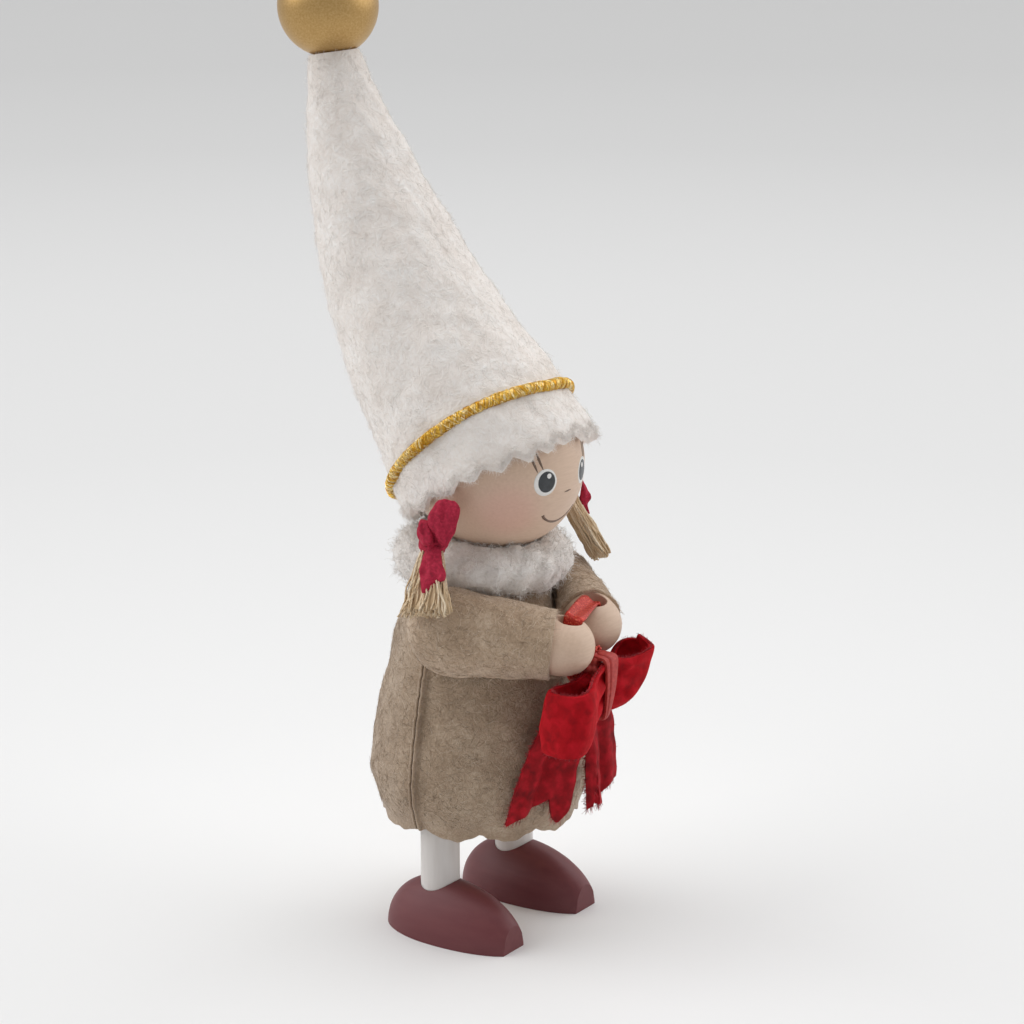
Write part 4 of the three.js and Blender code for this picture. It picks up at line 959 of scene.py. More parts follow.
for name, arm in ARMS.items():
    outer = sleeve_grid(arm)
    outer = outer + normals_of(outer, True) * lumps(outer, 0.12, 5, 31)[..., None]
    outer = pressed(outer, SLEEVE_OFF_COAT)
    lip = outer[-1] - CUFF_FELT * unit(outer[-1] - arm["cuff"])
    pocket = [lip + arm["forward"] * depth for depth in POCKET_DEPTHS]
    pocket_floor = arm["cuff"] + POCKET_DEPTHS[-1] * arm["forward"]
    pocket.append(pocket_floor + POCKET_FLOOR_SHARE * (pocket[-1] - pocket_floor))
    tube = lofted(np.concatenate([outer, pocket]))
    sleeve = new_piece(f"{name}_felt_sleeve", tube, painted_light_sleeve_felt, "arms", "coat_felt", f"{name}_sleeve")
    bevelled(sleeve, 0.25, 60)
    dice = np.random.default_rng(41)
    wool = (painted_light_sleeve_fibre, "arms", "coat_felt", True)
    face = outer[2:]
    grow_over(f"{name}_sleeve_fibres", face, 3200, dice, SLEEVE_LYING, FIBRE_RADIUS, *wool)
    grow_over(f"{name}_sleeve_fuzz", face, 2200, dice, FELT_FUZZ, FUZZ_RADIUS, *wool, darkest=FUZZ_DARKEST)
    peg = hand_shape(arm)
    hand = new_piece(f"{name}_turned_hand", peg, hand_wood, "arms", "hand_wood", f"{name}_hand")
    bevelled(hand, 0.35, 45)
    pad_place = SHOULDER + (arm["side"] * SHOULDER_PAD_OUT, -SHOULDER_PAD_AHEAD, 0)
    pad_profile = ball_profile(SHOULDER_PAD_RADIUS, SHOULDER_PAD_HALF_LENGTH, (0.08, 3.06), 20)
    pad = np.array(turned(pad_profile, pad_place, (arm["side"], -0.5, 0), 36))
    pad = pad + (pad - pad_place) * (0, 0, SHOULDER_PAD_TALLER)
    new_piece(f"{name}_sleeve_shoulder", lofted(pad), painted_light_sleeve_felt, "arms", "coat_felt")

# %% [markdown]
# ## Collar
# The collar is a strip of long fleece wound round the neck. Under the curls lies a soft lumpy ring, and
# the head sinks into it. Curly strands cover it closely.

# %% Collar
COLLAR_Y = BODY_Y - 1
COLLAR_MIDDLE_Z = 62.0
COLLAR_RADIUS = 9.4
COLLAR_HALF_WIDTH = 4.5
COLLAR_HALF_HEIGHT = 4.0

# How much wider, higher and taller the collar is behind than in front
WIDER_BEHIND = 0.5
HIGHER_BEHIND = 0.4
TALLER_BEHIND = 0.6
FLEECE_OFF_HEAD = 0.3
CURLS_OFF_HEAD = 0.15
COLLAR_CURLS = (2.6, 1.0, 0.8, 5, 0.2)
COLLAR_CURL_COUNT = 6600
collar_turns = np.linspace(0, 2 * pi, 96, endpoint=False)
section = np.linspace(0, 2 * pi, 28, endpoint=False)
rings = []
for turn in collar_turns:
    behind = 0.5 + 0.5 * sin(turn)
    radius = COLLAR_RADIUS + (COLLAR_HALF_WIDTH + WIDER_BEHIND * behind) * np.cos(section)
    tall = (COLLAR_HALF_HEIGHT + TALLER_BEHIND * behind) * np.sin(section)
    height = COLLAR_MIDDLE_Z + HIGHER_BEHIND * behind + tall
    rings.append(np.stack([radius * cos(turn), COLLAR_Y + radius * sin(turn), height], 1))
fleece = np.array(rings).transpose(1, 0, 2)
fleece = fleece + normals_of(fleece, True) * lumps(fleece, 0.4, 3.0, 51)[..., None]


def outside_ball(points, margin):
    """Moves points that lie inside the head out to its surface and a margin more."""
    away = points - HEAD
    distance = np.linalg.norm(away, axis=-1, keepdims=True)
    return HEAD + away * np.maximum(1, (HEAD_RADIUS + margin) / distance)


fleece = outside_ball(fleece, FLEECE_OFF_HEAD)
ring = (fleece.reshape(-1, 3), [quads(*fleece.shape[:2], True, True)])
collar = new_piece("fleece_collar", ring, collar_fleece, "figure", "fur", "fur_collar")
dice = np.random.default_rng(52)
places, normals = scattered(fleece, COLLAR_CURL_COUNT, dice, True)
from_axis = unit((places - (0, COLLAR_Y, 0)) * (1, 1, 0))
away = unit(places - (0, COLLAR_Y, COLLAR_MIDDLE_Z) - from_axis * COLLAR_RADIUS)
normals = np.where(((normals * away).sum(1) > 0)[:, None], normals, -normals)
curls = outside_ball(grown(places, normals, dice, *COLLAR_CURLS), CURLS_OFF_HEAD)
strands("collar_curls", curls, 0.045, fleece_fibre, "figure", "fur", dice.random(COLLAR_CURL_COUNT))

# %% [markdown]
# ## Hat
# The hat is one piece of thick white felt, rolled to a cone and bent back over a wire, with a pinked
# edge round the face. Its centre line is a smooth curve from the head to the bead, with a ring of felt
# at each place on it. Long soft pile blurs its outline, so it has the most strands of all, and at the
# hem the fibres hang down past the pinked edge.

# %% Hat
HAT_FELT = 1.25
HAT_HEAD_RADIUS = 15.85
HAT_TIP_RADIUS = 4
HAT_EDGE = -1.0
BAND_AT = 4.5
TEETH = 20
TOOTH = 1.9
HEM_FADE = 4.5
HEM_TILT = radians(5)
HAT_BELLY = 1.5
REAR_FLARE = 1.3
REAR_FLARE_HEIGHT = 12
HAT_THROW = 33.2
HAT_RISE = 70
HAT_STRAIGHT_SHARE = 0.36
LEAN_ON_HEAD = 35
LEAN_ABOVE_HEAD = 40
LEAN_AT_BEAD = 7
TIP_BELOW_BEAD = 7.4
HAT_PILE = (1.2, 0.9, 0.6, 4, 0.15)
HAT_LONG_FIBRES = (2.6, 0.15, 0.5, 5, 0.03)
HEM_FIBRES = (1.5, 1.8, 0.5, 4, 0.1)
HEM_FIBRE_COUNT = 4200
HEM_FIBRES_DOWN = 1.6
BEAD = HEAD + (0, HAT_THROW, HAT_RISE)


def leaning(degrees):
    """The direction that leans back from upright by an angle."""
    return np.array([0, sin(radians(degrees)), cos(radians(degrees))])


pull = HAT_STRAIGHT_SHARE * np.linalg.norm(BEAD - HEAD)
a, b, c, d = HEAD, HEAD + pull * leaning(LEAN_ABOVE_HEAD), BEAD - pull * leaning(LEAN_AT_BEAD), BEAD
t = np.linspace(0, 1, 800)[:, None]
hat_line = a * (1 - t) ** 3 + 3 * b * t * (1 - t) ** 2 + 3 * c * t**2 * (1 - t) + d * t**3
hat_run = np.concatenate([[0], np.cumsum(np.linalg.norm(np.diff(hat_line, axis=0), axis=1))])
hat_ways = unit(np.gradient(hat_line, axis=0))
HAT_TIP = hat_run[-1] - TIP_BELOW_BEAD


def hat_radius(at):
    low = np.sqrt(HAT_HEAD_RADIUS**2 - np.minimum(0, at) ** 2)
    share = np.clip((at - BAND_AT) / (HAT_TIP - BAND_AT), 0, 1)
    cone = HAT_HEAD_RADIUS + (HAT_TIP_RADIUS - HAT_HEAD_RADIUS) * share + HAT_BELLY * np.sin(pi * share)
    return np.where(at < BAND_AT, low, cone)


def hat_station(at):
    """The centre line's place and direction at a run from the head's middle."""
    if at <= 0:
        return HEAD + at * leaning(LEAN_ON_HEAD), leaning(LEAN_ON_HEAD)
    centre = np.array([np.interp(at, hat_run, column) for column in hat_line.T])
    return centre, unit(np.array([np.interp(at, hat_run, column) for column in hat_ways.T]))


def hat_ring(at, angle, inset=0.0, drop=0.0):
    centre, axis = hat_station(at)
    rear = np.array([0, axis[2], -axis[1]])
    low_down = np.clip((REAR_FLARE_HEIGHT - at) / REAR_FLARE_HEIGHT, 0, 1)
    flare = REAR_FLARE * np.maximum(0, np.sin(angle)) * low_down
    radius = (hat_radius(at - drop) + flare - inset)[..., None]
    ring = centre + radius * (np.cos(angle)[..., None] * (1, 0, 0) + np.sin(angle)[..., None] * rear)
    return ring - axis * np.broadcast_to(drop, angle.shape)[..., None]


def hat_grid(inset, rows=96, columns=240):
    angle = np.linspace(0, 2 * pi, columns, endpoint=False)
    uneven = angle + 0.05 * np.sin(3 * angle) + 0.035 * np.sin(7 * angle + 1)
    zigzag = np.abs((uneven * TEETH / pi) % 2 - 1)
    tooth = TOOTH * (0.12 + 0.88 * zigzag**0.9) * (1 + 0.2 * np.sin(5 * angle))
    hem = tooth - tan(HEM_TILT) * HAT_HEAD_RADIUS * np.sin(angle)
    rings = []
    for at in HAT_EDGE + (HAT_TIP - HAT_EDGE) * np.linspace(0, 1, rows) ** 1.25:
        fade = np.clip(1 - (at - HAT_EDGE) / HEM_FADE, 0, 1)
        rings.append(hat_ring(at, angle, inset, hem * fade))
    return np.array(rings)


outer = hat_grid(0)
inner = hat_grid(HAT_FELT)
out = normals_of(outer, True)
out = out * np.sign((out * (outer - outer.mean(1, keepdims=True))).sum(-1, keepdims=True))
outer = outer + out * lumps(outer, 0.22, 8, 61)[..., None] + out * lumps(outer, 0.1, 3, 62)[..., None]
hat = new_piece("felt_hat", slab(outer, inner, True), hat_felt, "head", "hat_felt", "hat")
bevelled(hat, 0.35, 50)
dice = np.random.default_rng(63)
wool = (hat_fibre, "head", "hat_felt")
grow_over("hat_pile", outer, 9800, dice, HAT_PILE, 0.028, *wool, True)
grow_over("hat_long_fibres", outer, 7000, dice, HAT_LONG_FIBRES, 0.028, *wool, True)
places, normals = scattered(outer[:4], HEM_FIBRE_COUNT, dice, True)
downward = unit(normals - HEM_FIBRES_DOWN * leaning(LEAN_ON_HEAD))
lines = grown(places, downward, dice, *HEM_FIBRES)
strands("hat_hem_fibres", lines, 0.03, *wool, dice.random(HEM_FIBRE_COUNT))

# %% [markdown]
# ## Gold cord and bead
# The cord is tinsel: narrow metal film wound round cotton. Two layers of fine threads run round a soft
# core, one each way, and the outer one is worn through in places. They are cut to short lengths, each with
# a random tone from dark gold to near white: painted glints and painted shade, standing for the many small
# facets of the film. The bead is a turned ball with its bore on the hat's wire.

# %% Cord and bead
CORD_RADIUS = 0.78
CORD_PITCH = 2.8
CORD_THREADS = 15
CORD_LIFT = 1.8
CORD_LIFTED_AT = radians(198)
CORD_OFF_FELT = 0.15
CORD_POINTS = 360
CORD_AROUND = 12
THREAD_RADIUS = 0.06
POINTS_PER_TURN = 21
GLINT_STEPS = 7
OUTER_LAYER_LEFT = 0.35
UNEVEN_PER_TURN = 6
angle = np.linspace(0, 2 * pi, CORD_POINTS, endpoint=False)
lift = CORD_LIFT * np.maximum(0, np.cos(1.25 * (angle - CORD_LIFTED_AT)))
cord_line = hat_ring(BAND_AT, angle, -CORD_OFF_FELT, -lift)
_, band_axis = hat_station(BAND_AT)
cord_out = unit(cord_line - cord_line.mean(0))
section = np.linspace(0, 2 * pi, CORD_AROUND, endpoint=False)
rings = [cord_line + CORD_RADIUS * (cos(s) * cord_out + sin(s) * band_axis) for s in section]
core = (np.stack(rings, 1).reshape(-1, 3), [quads(CORD_POINTS, CORD_AROUND, True, True)])
new_piece("cord_core", core, cord_core, "head", "gold_cord", "hat_band")
cord_length = np.linalg.norm(np.roll(cord_line, -1, 0) - cord_line, axis=1).sum()
turns = round(cord_length / CORD_PITCH)
print("gold cord:", round(cord_length, 1), "mm long with", turns, "turns")


def once_round(values, share):
    """Values round the closed cord, read at shares of the way round."""
    closed = np.concatenate([values, values[:1]])
    at = share * CORD_POINTS
    return np.stack([np.interp(at, np.arange(CORD_POINTS + 1), column) for column in closed.T], 1)


dice = np.random.default_rng(71)
steps = turns * POINTS_PER_TURN + 1
round_share = np.linspace(0, 1, steps)
base = once_round(cord_line, round_share)
out = once_round(cord_out, round_share)
knots = UNEVEN_PER_TURN * turns
for name, way, height in (("inner", 1, 0.04), ("outer", -1, 0.12)):
    lines = []
    for thread in range(CORD_THREADS):
        spin = way * 2 * pi * (turns * round_share + thread / CORD_THREADS)
        bumps = dice.uniform(-0.04, 0.1, knots + 1)
        uneven = np.interp(knots * round_share, np.arange(knots + 1), bumps)
        away = (CORD_RADIUS + height + uneven)[:, None]
        wound = base + away * (np.cos(spin)[:, None] * out + np.sin(spin)[:, None] * band_axis)
        starts = range(0, steps - GLINT_STEPS, GLINT_STEPS)
        lines += [wound[i : i + GLINT_STEPS + 1] for i in starts]
    lines = np.array(lines)
    if name == "outer":
        lines = lines[dice.random(len(lines)) < OUTER_LAYER_LEFT]
    # Each short length's random tone is its painted glint or painted shade.
    tones = dice.random(len(lines))
    strands(f"tinsel_{name}_winding", lines, THREAD_RADIUS, tinsel, "head", "gold_cord", tones, tip=1.0)

BEAD_RADIUS = 8.1
BEAD_BORE = 1.3
BEAD_BORE_TOP = 7.4
_, bead_axis = hat_station(hat_run[-1])
arc = ball_profile(BEAD_RADIUS, BEAD_RADIUS, (np.arcsin(BEAD_BORE / BEAD_RADIUS), pi - 0.02), 56)
profile = [(0.4, BEAD_BORE_TOP), (BEAD_BORE, BEAD_BORE_TOP), *arc]
ball = lofted(turned(profile, BEAD, bead_axis, 80))
new_piece("gold_bead", ball, gold_paint, "head", "gold_paint", "hat_bead")

# %% [markdown]
# ## Velvet bow
# One band of velvet is folded to two loops and pinched at the middle by a narrower ribbon, and two tails
# with unevenly cut ends hang behind it. Ribbon keeps its width and bends only one way, so the band is a
# line on the ground plan, stood up to the ribbon's width. Pleats run out from the pinch, the rear edge
# gives way under the hands, and the cut edges fray.

# %% Bow loops
VELVET_WIDTH = 10.4
VELVET = 0.9
BOW_BELOW_HOLES = 3.2
BOW_OUT = -0.7
BOW_AHEAD = 24.1
BOW_TOP = SHOULDER[2] - HAND_DOWN - BOW_BELOW_HOLES
BOW = np.array([BOW_OUT, SHOULDER[1] - BOW_AHEAD, BOW_TOP - VELVET_WIDTH / 2])
BOW_LEAN = tan(radians(9))
BOW_PINCH = 0.65
BOW_GATHER = 2.1
FULL_BULGE = 2.6
PLEAT = 0.5
PLEAT_AT = 2.8
PUFF = 0.4
EDGE_CURL = 0.35
HAND_AT = 5.5
HAND_REACH = 4.8

# For the right and the left loop: its reach to the side, its bulge to front and back, how its end
# rises, how far its edges give way at the end, in front and under the hand, and how its top flares
LOOPS = {
    "reach": (12.4, 10.2),
    "front": (4.0, 1.9),
    "back": (2.2, 2.8),
    "rise": (-2.0, 1.9),
    "top_drop": (0.3, 0.2),
    "bottom_rise": (0.6, 4.4),
    "front_dip": (0.0, 1.3),
    "hand_dip": (1.3, 2.7),
    "flare": (0.0, 0.6),
    "curve": (5, 2.2),
}


def in_bow(points):
    """Carries points from the bow's own upright frame to its leaning place under the hands."""
    leaned = points.copy()
    leaned[..., 0] += BOW_LEAN * points[..., 2]
    return leaned + BOW


def of_loop(x, key):
    right, left = LOOPS[key]
    return np.where(x > 0, left, right)


def loop_plan(angle):
    """The band's line on the ground plan: round both loops, and close together at the pinch."""
    way = np.sin(angle)
    bulge = np.where(np.cos(angle) > 0, of_loop(way, "front"), of_loop(way, "back"))
    return of_loop(way, "reach") * way, -np.cos(angle) * (BOW_PINCH + FULL_BULGE * bulge * way**2)


def loop_grid(offset, rows=24, columns=240):
    angle = np.linspace(0, 2 * pi, columns, endpoint=False)
    x, y = loop_plan(angle)
    small_step = 0.01
    ahead, behind = (np.stack(loop_plan(angle + step), -1) for step in (small_step, -small_step))
    along = unit(ahead - behind)
    normal = np.stack([along[:, 1], -along[:, 0]], -1)
    from_middle = np.abs(x)
    to_end = np.clip(from_middle / of_loop(x, "reach"), 0, 1) ** of_loop(x, "curve")
    by_hand = np.exp(-(((from_middle - HAND_AT) / HAND_REACH) ** 2))
    dip = np.where(y > 0, of_loop(x, "hand_dip") * by_hand, 0)
    at_front = np.clip(-y / 1.5, 0, 1) * np.clip(from_middle / 4, 0, 1)
    low = BOW_GATHER * np.exp(-((x / 3.5) ** 2)) + of_loop(x, "bottom_rise") * to_end - VELVET_WIDTH / 2
    high = VELVET_WIDTH / 2 - np.maximum(dip, of_loop(x, "top_drop") * to_end)
    high = high - of_loop(x, "front_dip") * at_front
    share = np.linspace(-1, 1, rows)[:, None]
    z = low + (high - low) * (share + 1) / 2 + of_loop(x, "rise") * from_middle / of_loop(x, "reach")
    spread = np.clip(from_middle / 5, 0, 1)
    pleat = PLEAT * np.exp(-((from_middle - PLEAT_AT) ** 2) / 8) * np.sin(share * 9 + 0.3 * x)
    pleat = pleat * np.clip(from_middle / 1.5, 0, 1)
    puff = (PUFF * (1 - share**2) - EDGE_CURL * np.abs(share) ** 4) * spread
    puff = puff + of_loop(x, "flare") * np.maximum(0, share) ** 2 * 2 * at_front
    push = offset + pleat + puff
    return np.stack([x + normal[:, 0] * push, y + normal[:, 1] * push, z], -1)


outer = in_bow(loop_grid(VELVET / 2))
inner = in_bow(loop_grid(-VELVET / 2))
outer = outer + normals_of(outer, True) * lumps(outer, 0.12, 3.5, 81)[..., None]
band = slab(outer, inner, True)
loops = new_piece("velvet_loops", band, velvet, "bow", "velvet_ribbon", "bow_loops")
bevelled(loops, 0.2, 50)


def edge_fringe(name, edge, way, dice, count, length):
    """Short threads along a cut edge, leaning out of it."""
    at = dice.uniform(0, len(edge) - 1, count)
    low = at.astype(int)
    share = (at - low)[:, None]
    base = edge[low] * (1 - share) + edge[low + 1] * share
    lean = unit(way[low] + 0.35 * dice.normal(size=(count, 3)))
    reach = length * dice.uniform(0.4, 1, (count, 1))
    bend = 0.15 * dice.normal(size=(count, 3))
    lines = np.stack([base - 0.3 * lean, base + 0.4 * reach * lean, base + reach * lean + bend], 1)
    strands(name, lines, 0.045, silk_fringe, "bow", "velvet_ribbon", dice.random(count))


dice = np.random.default_rng(82)
both = (outer + inner) / 2
for name, edge, inside_edge in (("top", both[-1], both[-2]), ("bottom", both[0], both[1])):
    edge_fringe(f"loop_{name}_fringe", edge, unit(edge - inside_edge), dice, 700, 0.5)

# %% Bow tails
RIBBON_GAP = 0.3
RIBBON_GATHER_DEPTH = 0.5
RIBBON_BEHIND_BAND = BOW_PINCH + VELVET / 2 + RIBBON_GAP + RIBBON_GATHER_DEPTH
TAIL_Y = BOW[1] + BOW_PINCH + VELVET / 2 + RIBBON_GAP + RIBBON_GATHER_DEPTH + RIBBON_GAP + VELVET / 2
TAIL_BOWED_AHEAD = 0.7
TAIL_FOLD = 0.8
TAIL_SMALL_FOLD = 0.3
TAIL_EDGE_LENGTH = 20
TAIL_EDGE_POINTS = 120


def tail_edge(start, middle, end):
    """A curve from the wrap to the end, in mm to the left, back and up from the bow's top."""
    a, b, c = (np.array(p) + (BOW[0], TAIL_Y, BOW_TOP) for p in (start, middle, end))
    t = np.linspace(0, 1, TAIL_EDGE_POINTS)[:, None]
    return a * (1 - t) ** 2 + 2 * b * t * (1 - t) + c * t**2


def tail_grid(outer_edge, inner_edge, ends, rows=60, columns=56):
    """Between two edge lines, with the end cut to the given reach at each share of the width."""
    down = np.linspace(0, 1, rows)[:, None]
    across = np.linspace(0, 1, columns)
    reach = down * np.interp(across, *zip(*ends))
    beyond = np.maximum(0, reach - 1)[..., None] * TAIL_EDGE_LENGTH
    run = np.linspace(0, 1, TAIL_EDGE_POINTS)
    left, right = (
        np.stack([np.interp(reach, run, column) for column in edge.T], -1)
        + beyond * unit(edge[-1] - edge[-2])
        for edge in (outer_edge, inner_edge)
    )
    grid = left + (right - left) * across[:, None]
    grid[..., 1] -= TAIL_BOWED_AHEAD * np.sin(pi * across) * down
    grid[..., 1] -= TAIL_FOLD * np.sin(2 * pi * across * 1.3 + 0.6 + 0.5 * down) * np.sqrt(down)
    grid[..., 1] -= TAIL_SMALL_FOLD * TAIL_FOLD * np.sin(2 * pi * across * 3.1 + 2 + down) * down
    return grid


# How far each tail's cut end reaches, at shares of its width from the outer edge
RIGHT_END = [(0, 1), (0.25, 0.96), (0.5, 0.91), (0.6, 0.87), (0.7, 0.98), (0.79, 1.01), (0.88, 0.95)]
RIGHT_END += [(1, 0.87)]
LEFT_END = [(0, 0.93), (0.2, 0.94), (0.48, 1.02), (0.64, 1.03), (0.78, 1.01), (0.84, 0.72), (0.92, 1)]
LEFT_END += [(1, 1.03)]
TAILS = {
    "right": (
        tail_edge((-0.3, 0, -3), (-9.2, 3.8, -6), (-12, 7.8, -26.2)),
        tail_edge((-0.3, 0, -7.8), (-2.4, -0.4, -13), (-3.4, 1.6, -26.2)),
        RIGHT_END,
    ),
    "left": (
        tail_edge((1.3, 0, -3), (8.4, 0.4, -7.6), (6.9, 0, -24)),
        tail_edge((0.5, 0, -7.8), (-1, 0, -15), (-1.8, -1.4, -24)),
        LEFT_END,
    ),
}
for number, (name, (outer_edge, inner_edge, ends)) in enumerate(TAILS.items()):
    grid = tail_grid(outer_edge, inner_edge, ends)
    grid = grid + normals_of(grid) * lumps(grid, 0.12, 4, 83 + number)[..., None]
    normal = normals_of(grid)
    shape = slab(grid + normal * VELVET / 2, grid - normal * VELVET / 2)
    # The tails wear the darker copy of the velvet, painted shade.
    tail = new_piece(f"{name}_velvet_tail", shape, painted_shade_tail_velvet, "bow", "velvet_ribbon", f"bow_{name}_tail")
    bevelled(tail, 0.2, 50)
    dice = np.random.default_rng(91 + number)
    edges = {
        "end": (grid[-1], grid[-2], 160, 1.3),
        "outer": (grid[:, 0], grid[:, 1], 260, 0.7),
        "inner": (grid[:, -1], grid[:, -2], 260, 0.7),
    }
    for place, (edge, inside_edge, count, length) in edges.items():
        way = unit(edge - inside_edge)
        edge_fringe(f"{name}_tail_{place}_fringe", edge, way, dice, count, length)

# %% [markdown]
# The wrap is a narrow ribbon round band and tails, with a crease along it, and it narrows to the
# bottom. A small lumpy knot fills its top.

# %% Wrap round the middle
WRAP_WIDTH = 3.4
WRAP_OFF_FRONT = 0.55
WRAP_OFF_BAND = 0.4
WRAP_BELOW_BAND = 0.6
WRAP_THICKNESS = 0.5
WRAP_NARROWEST = 0.12
WRAP_SIDE_POINTS = 14
WRAP_ROUNDING = 6
CREASE_DEPTH = 0.3
CREASE_AT = 0.4
CREASE_WIDTH = 0.1
wrap_front = -(BOW_PINCH + VELVET / 2 + WRAP_OFF_FRONT)
wrap_rear = TAIL_Y - BOW[1] + VELVET / 2 + WRAP_OFF_BAND
wrap_low = BOW_GATHER - VELVET_WIDTH / 2 - WRAP_BELOW_BAND
wrap_high = VELVET_WIDTH / 2 + WRAP_OFF_BAND
corners = [(wrap_front, wrap_low), (wrap_rear, wrap_low), (wrap_rear, wrap_high), (wrap_front, wrap_high)]
loop = []
for (y0, z0), (y1, z1) in zip(corners, corners[1:] + corners[:1]):
    for share in np.linspace(0, 1, WRAP_SIDE_POINTS, endpoint=False):
        loop.append((y0 + (y1 - y0) * share, z0 + (z1 - z0) * share))
loop = np.array(loop)
for _ in range(WRAP_ROUNDING):
    loop = (np.roll(loop, 1, 0) + 2 * loop + np.roll(loop, -1, 0)) / 4
centre = loop.mean(0)


def wrap_grid(grow):
    share = np.linspace(-1, 1, 28)[:, None]
    height = np.clip((loop[:, 1] - wrap_low) / (wrap_high - wrap_low), 0, 1)
    pinch = WRAP_NARROWEST + (1 - WRAP_NARROWEST) * height**0.6
    x = share * WRAP_WIDTH / 2 * pinch
    out = unit(loop - centre)
    crease = CREASE_DEPTH * np.exp(-(((share + CREASE_AT) / CREASE_WIDTH) ** 2))
    crown = grow + 0.14 * (1 - share**2) - crease
    y = loop[:, 0] + out[:, 0] * crown
    z = loop[:, 1] + out[:, 1] * crown
    return in_bow(np.stack([x, y, z], -1))


wound = slab(wrap_grid(WRAP_THICKNESS), wrap_grid(0), True)
wrap = new_piece("ribbon_wrap", wound, wrap_satin, "bow", "velvet_ribbon", "bow_wrap")
bevelled(wrap, 0.12, 50)


def lumpy_knot(name, place, axis, size, counts, lump, material, body, slot):
    """A small ball of crumpled cloth, of a radius and a half length."""
    rows, around = counts
    ball = np.array(turned(ball_profile(*size, (0.1, 3.04), rows), place, axis, around))
    height, seed = lump
    ball = ball + unit(ball - place) * lumps(ball, height, 1.6, seed)[..., None]
    new_piece(name, lofted(ball), material, body, slot)


KNOT_PLACE = BOW + (-0.2, wrap_rear * 0.4, VELVET_WIDTH / 2 - 1.1)
knot_form = ((0.5, 0.3, 0.8), (1.75, 2.3), (20, 36), (0.3, 85))
lumpy_knot("ribbon_gather_knot", KNOT_PLACE, *knot_form, wrap_satin, "bow", "velvet_ribbon")

# %% [markdown]
# ## Ribbon through the hands
# A narrow satin ribbon with a glitter thread bridges the hands, runs down through both holes and
# gathers over the bow, which hangs from it. Its width turns as little as it can along its way.

# %% Hand ribbon
RIBBON_WIDTH = 3.2
RIBBON_GATHERED = 0.8
RIBBON = 0.32
RIBBON_TILT = radians(16)
RIBBON_POINTS = 141
RIBBON_MIDDLE = 70
RIBBON_COLUMNS = 9
RIPPLE = 0.18
GATHERED_UNTIL = 0.2
SPREADS_OVER = 0.1
HANGER_ABOVE_BAND = 1.1
FROM_HOLE_MIDDLE = {"right": 1.1, "left": 0.2}
HAND_RIM = sqrt(HAND_RADIUS**2 - HOLE_RADIUS**2)
hang = BOW + (BOW_LEAN * VELVET_WIDTH / 2, RIBBON_BEHIND_BAND, VELVET_WIDTH / 2 + HANGER_ABOVE_BAND)


def ribbon_strand(name):
    """The way from over a hand's rim, down its hole, under the hand and back to the bow."""
    side = ARMS[name]["side"]
    x, y, z = ARMS[name]["hole"]
    from_middle = FROM_HOLE_MIDDLE[name]
    under = z - HAND_RADIUS - 1
    return [
        (x - side * (from_middle + 1), y, z + HAND_RIM + 0.2),
        (x - side * (from_middle + 0.2), y, z + HAND_RIM - 0.1),
        (x - side * (from_middle - 0.2), y, z + HAND_RIM - 2.6),
        (x, y + 0.1, z - HAND_RADIUS + 1),
        (x - side * 1.1, y + 0.3, under),
        (x - side * 3.6, y + (hang[1] - y) * 0.35 + 0.9, under + 0.5),
        (hang[0] + side * 0.5, hang[1] + 1.4, hang[2] - 0.6),
        (hang[0] + side * 0.45, hang[1] - 1, hang[2] + 0.7),
    ]


bridge_middle = (ARMS["right"]["hole"] + ARMS["left"]["hole"]) / 2 + (0, 0, HAND_RIM + 0.1)
route = [*ribbon_strand("right")[::-1], bridge_middle, *ribbon_strand("left")]
line = smooth_line(route, RIBBON_POINTS)
print("hand ribbon:", round(np.linalg.norm(np.diff(line, axis=0), axis=1).sum(), 1), "mm long")
along = unit(np.gradient(line, axis=0))
across = np.zeros_like(line)
across[RIBBON_MIDDLE] = (0, cos(RIBBON_TILT), sin(RIBBON_TILT))
for step, stop in ((-1, -1), (1, RIBBON_POINTS)):
    for i in range(RIBBON_MIDDLE + step, stop, step):
        across[i] = unit(across[i - step] - (across[i - step] @ along[i]) * along[i])
normal = np.cross(along, across)
share = np.linspace(0, 1, RIBBON_POINTS)
spread = np.clip((np.minimum(share, 1 - share) - GATHERED_UNTIL) / SPREADS_OVER, 0, 1)
width = (RIBBON_GATHERED + (RIBBON_WIDTH - RIBBON_GATHERED) * spread)[:, None, None]
wide = np.linspace(-0.5, 0.5, RIBBON_COLUMNS)[None, :, None]
ripple = RIPPLE * np.sin(wide * 7 + 3 * share[:, None, None] * pi)
faces = [
    line[:, None] + across[:, None] * wide * width + normal[:, None] * (ripple + side * RIBBON / 2)
    for side in (1, -1)
]
new_piece("satin_hand_ribbon", slab(*faces), satin, "arms", "satin_ribbon", "hand_ribbon")

# %% [markdown]
# ## Pigtails
# Each pigtail is a bundle of flax, thin where it comes from under the hat, tied with a torn strip of
# crimson cloth, and brushed out below. Every flax strand keeps its own place in the bundle from top to
# end. The ties are crumpled pads made from their outlines, with a knot between them.

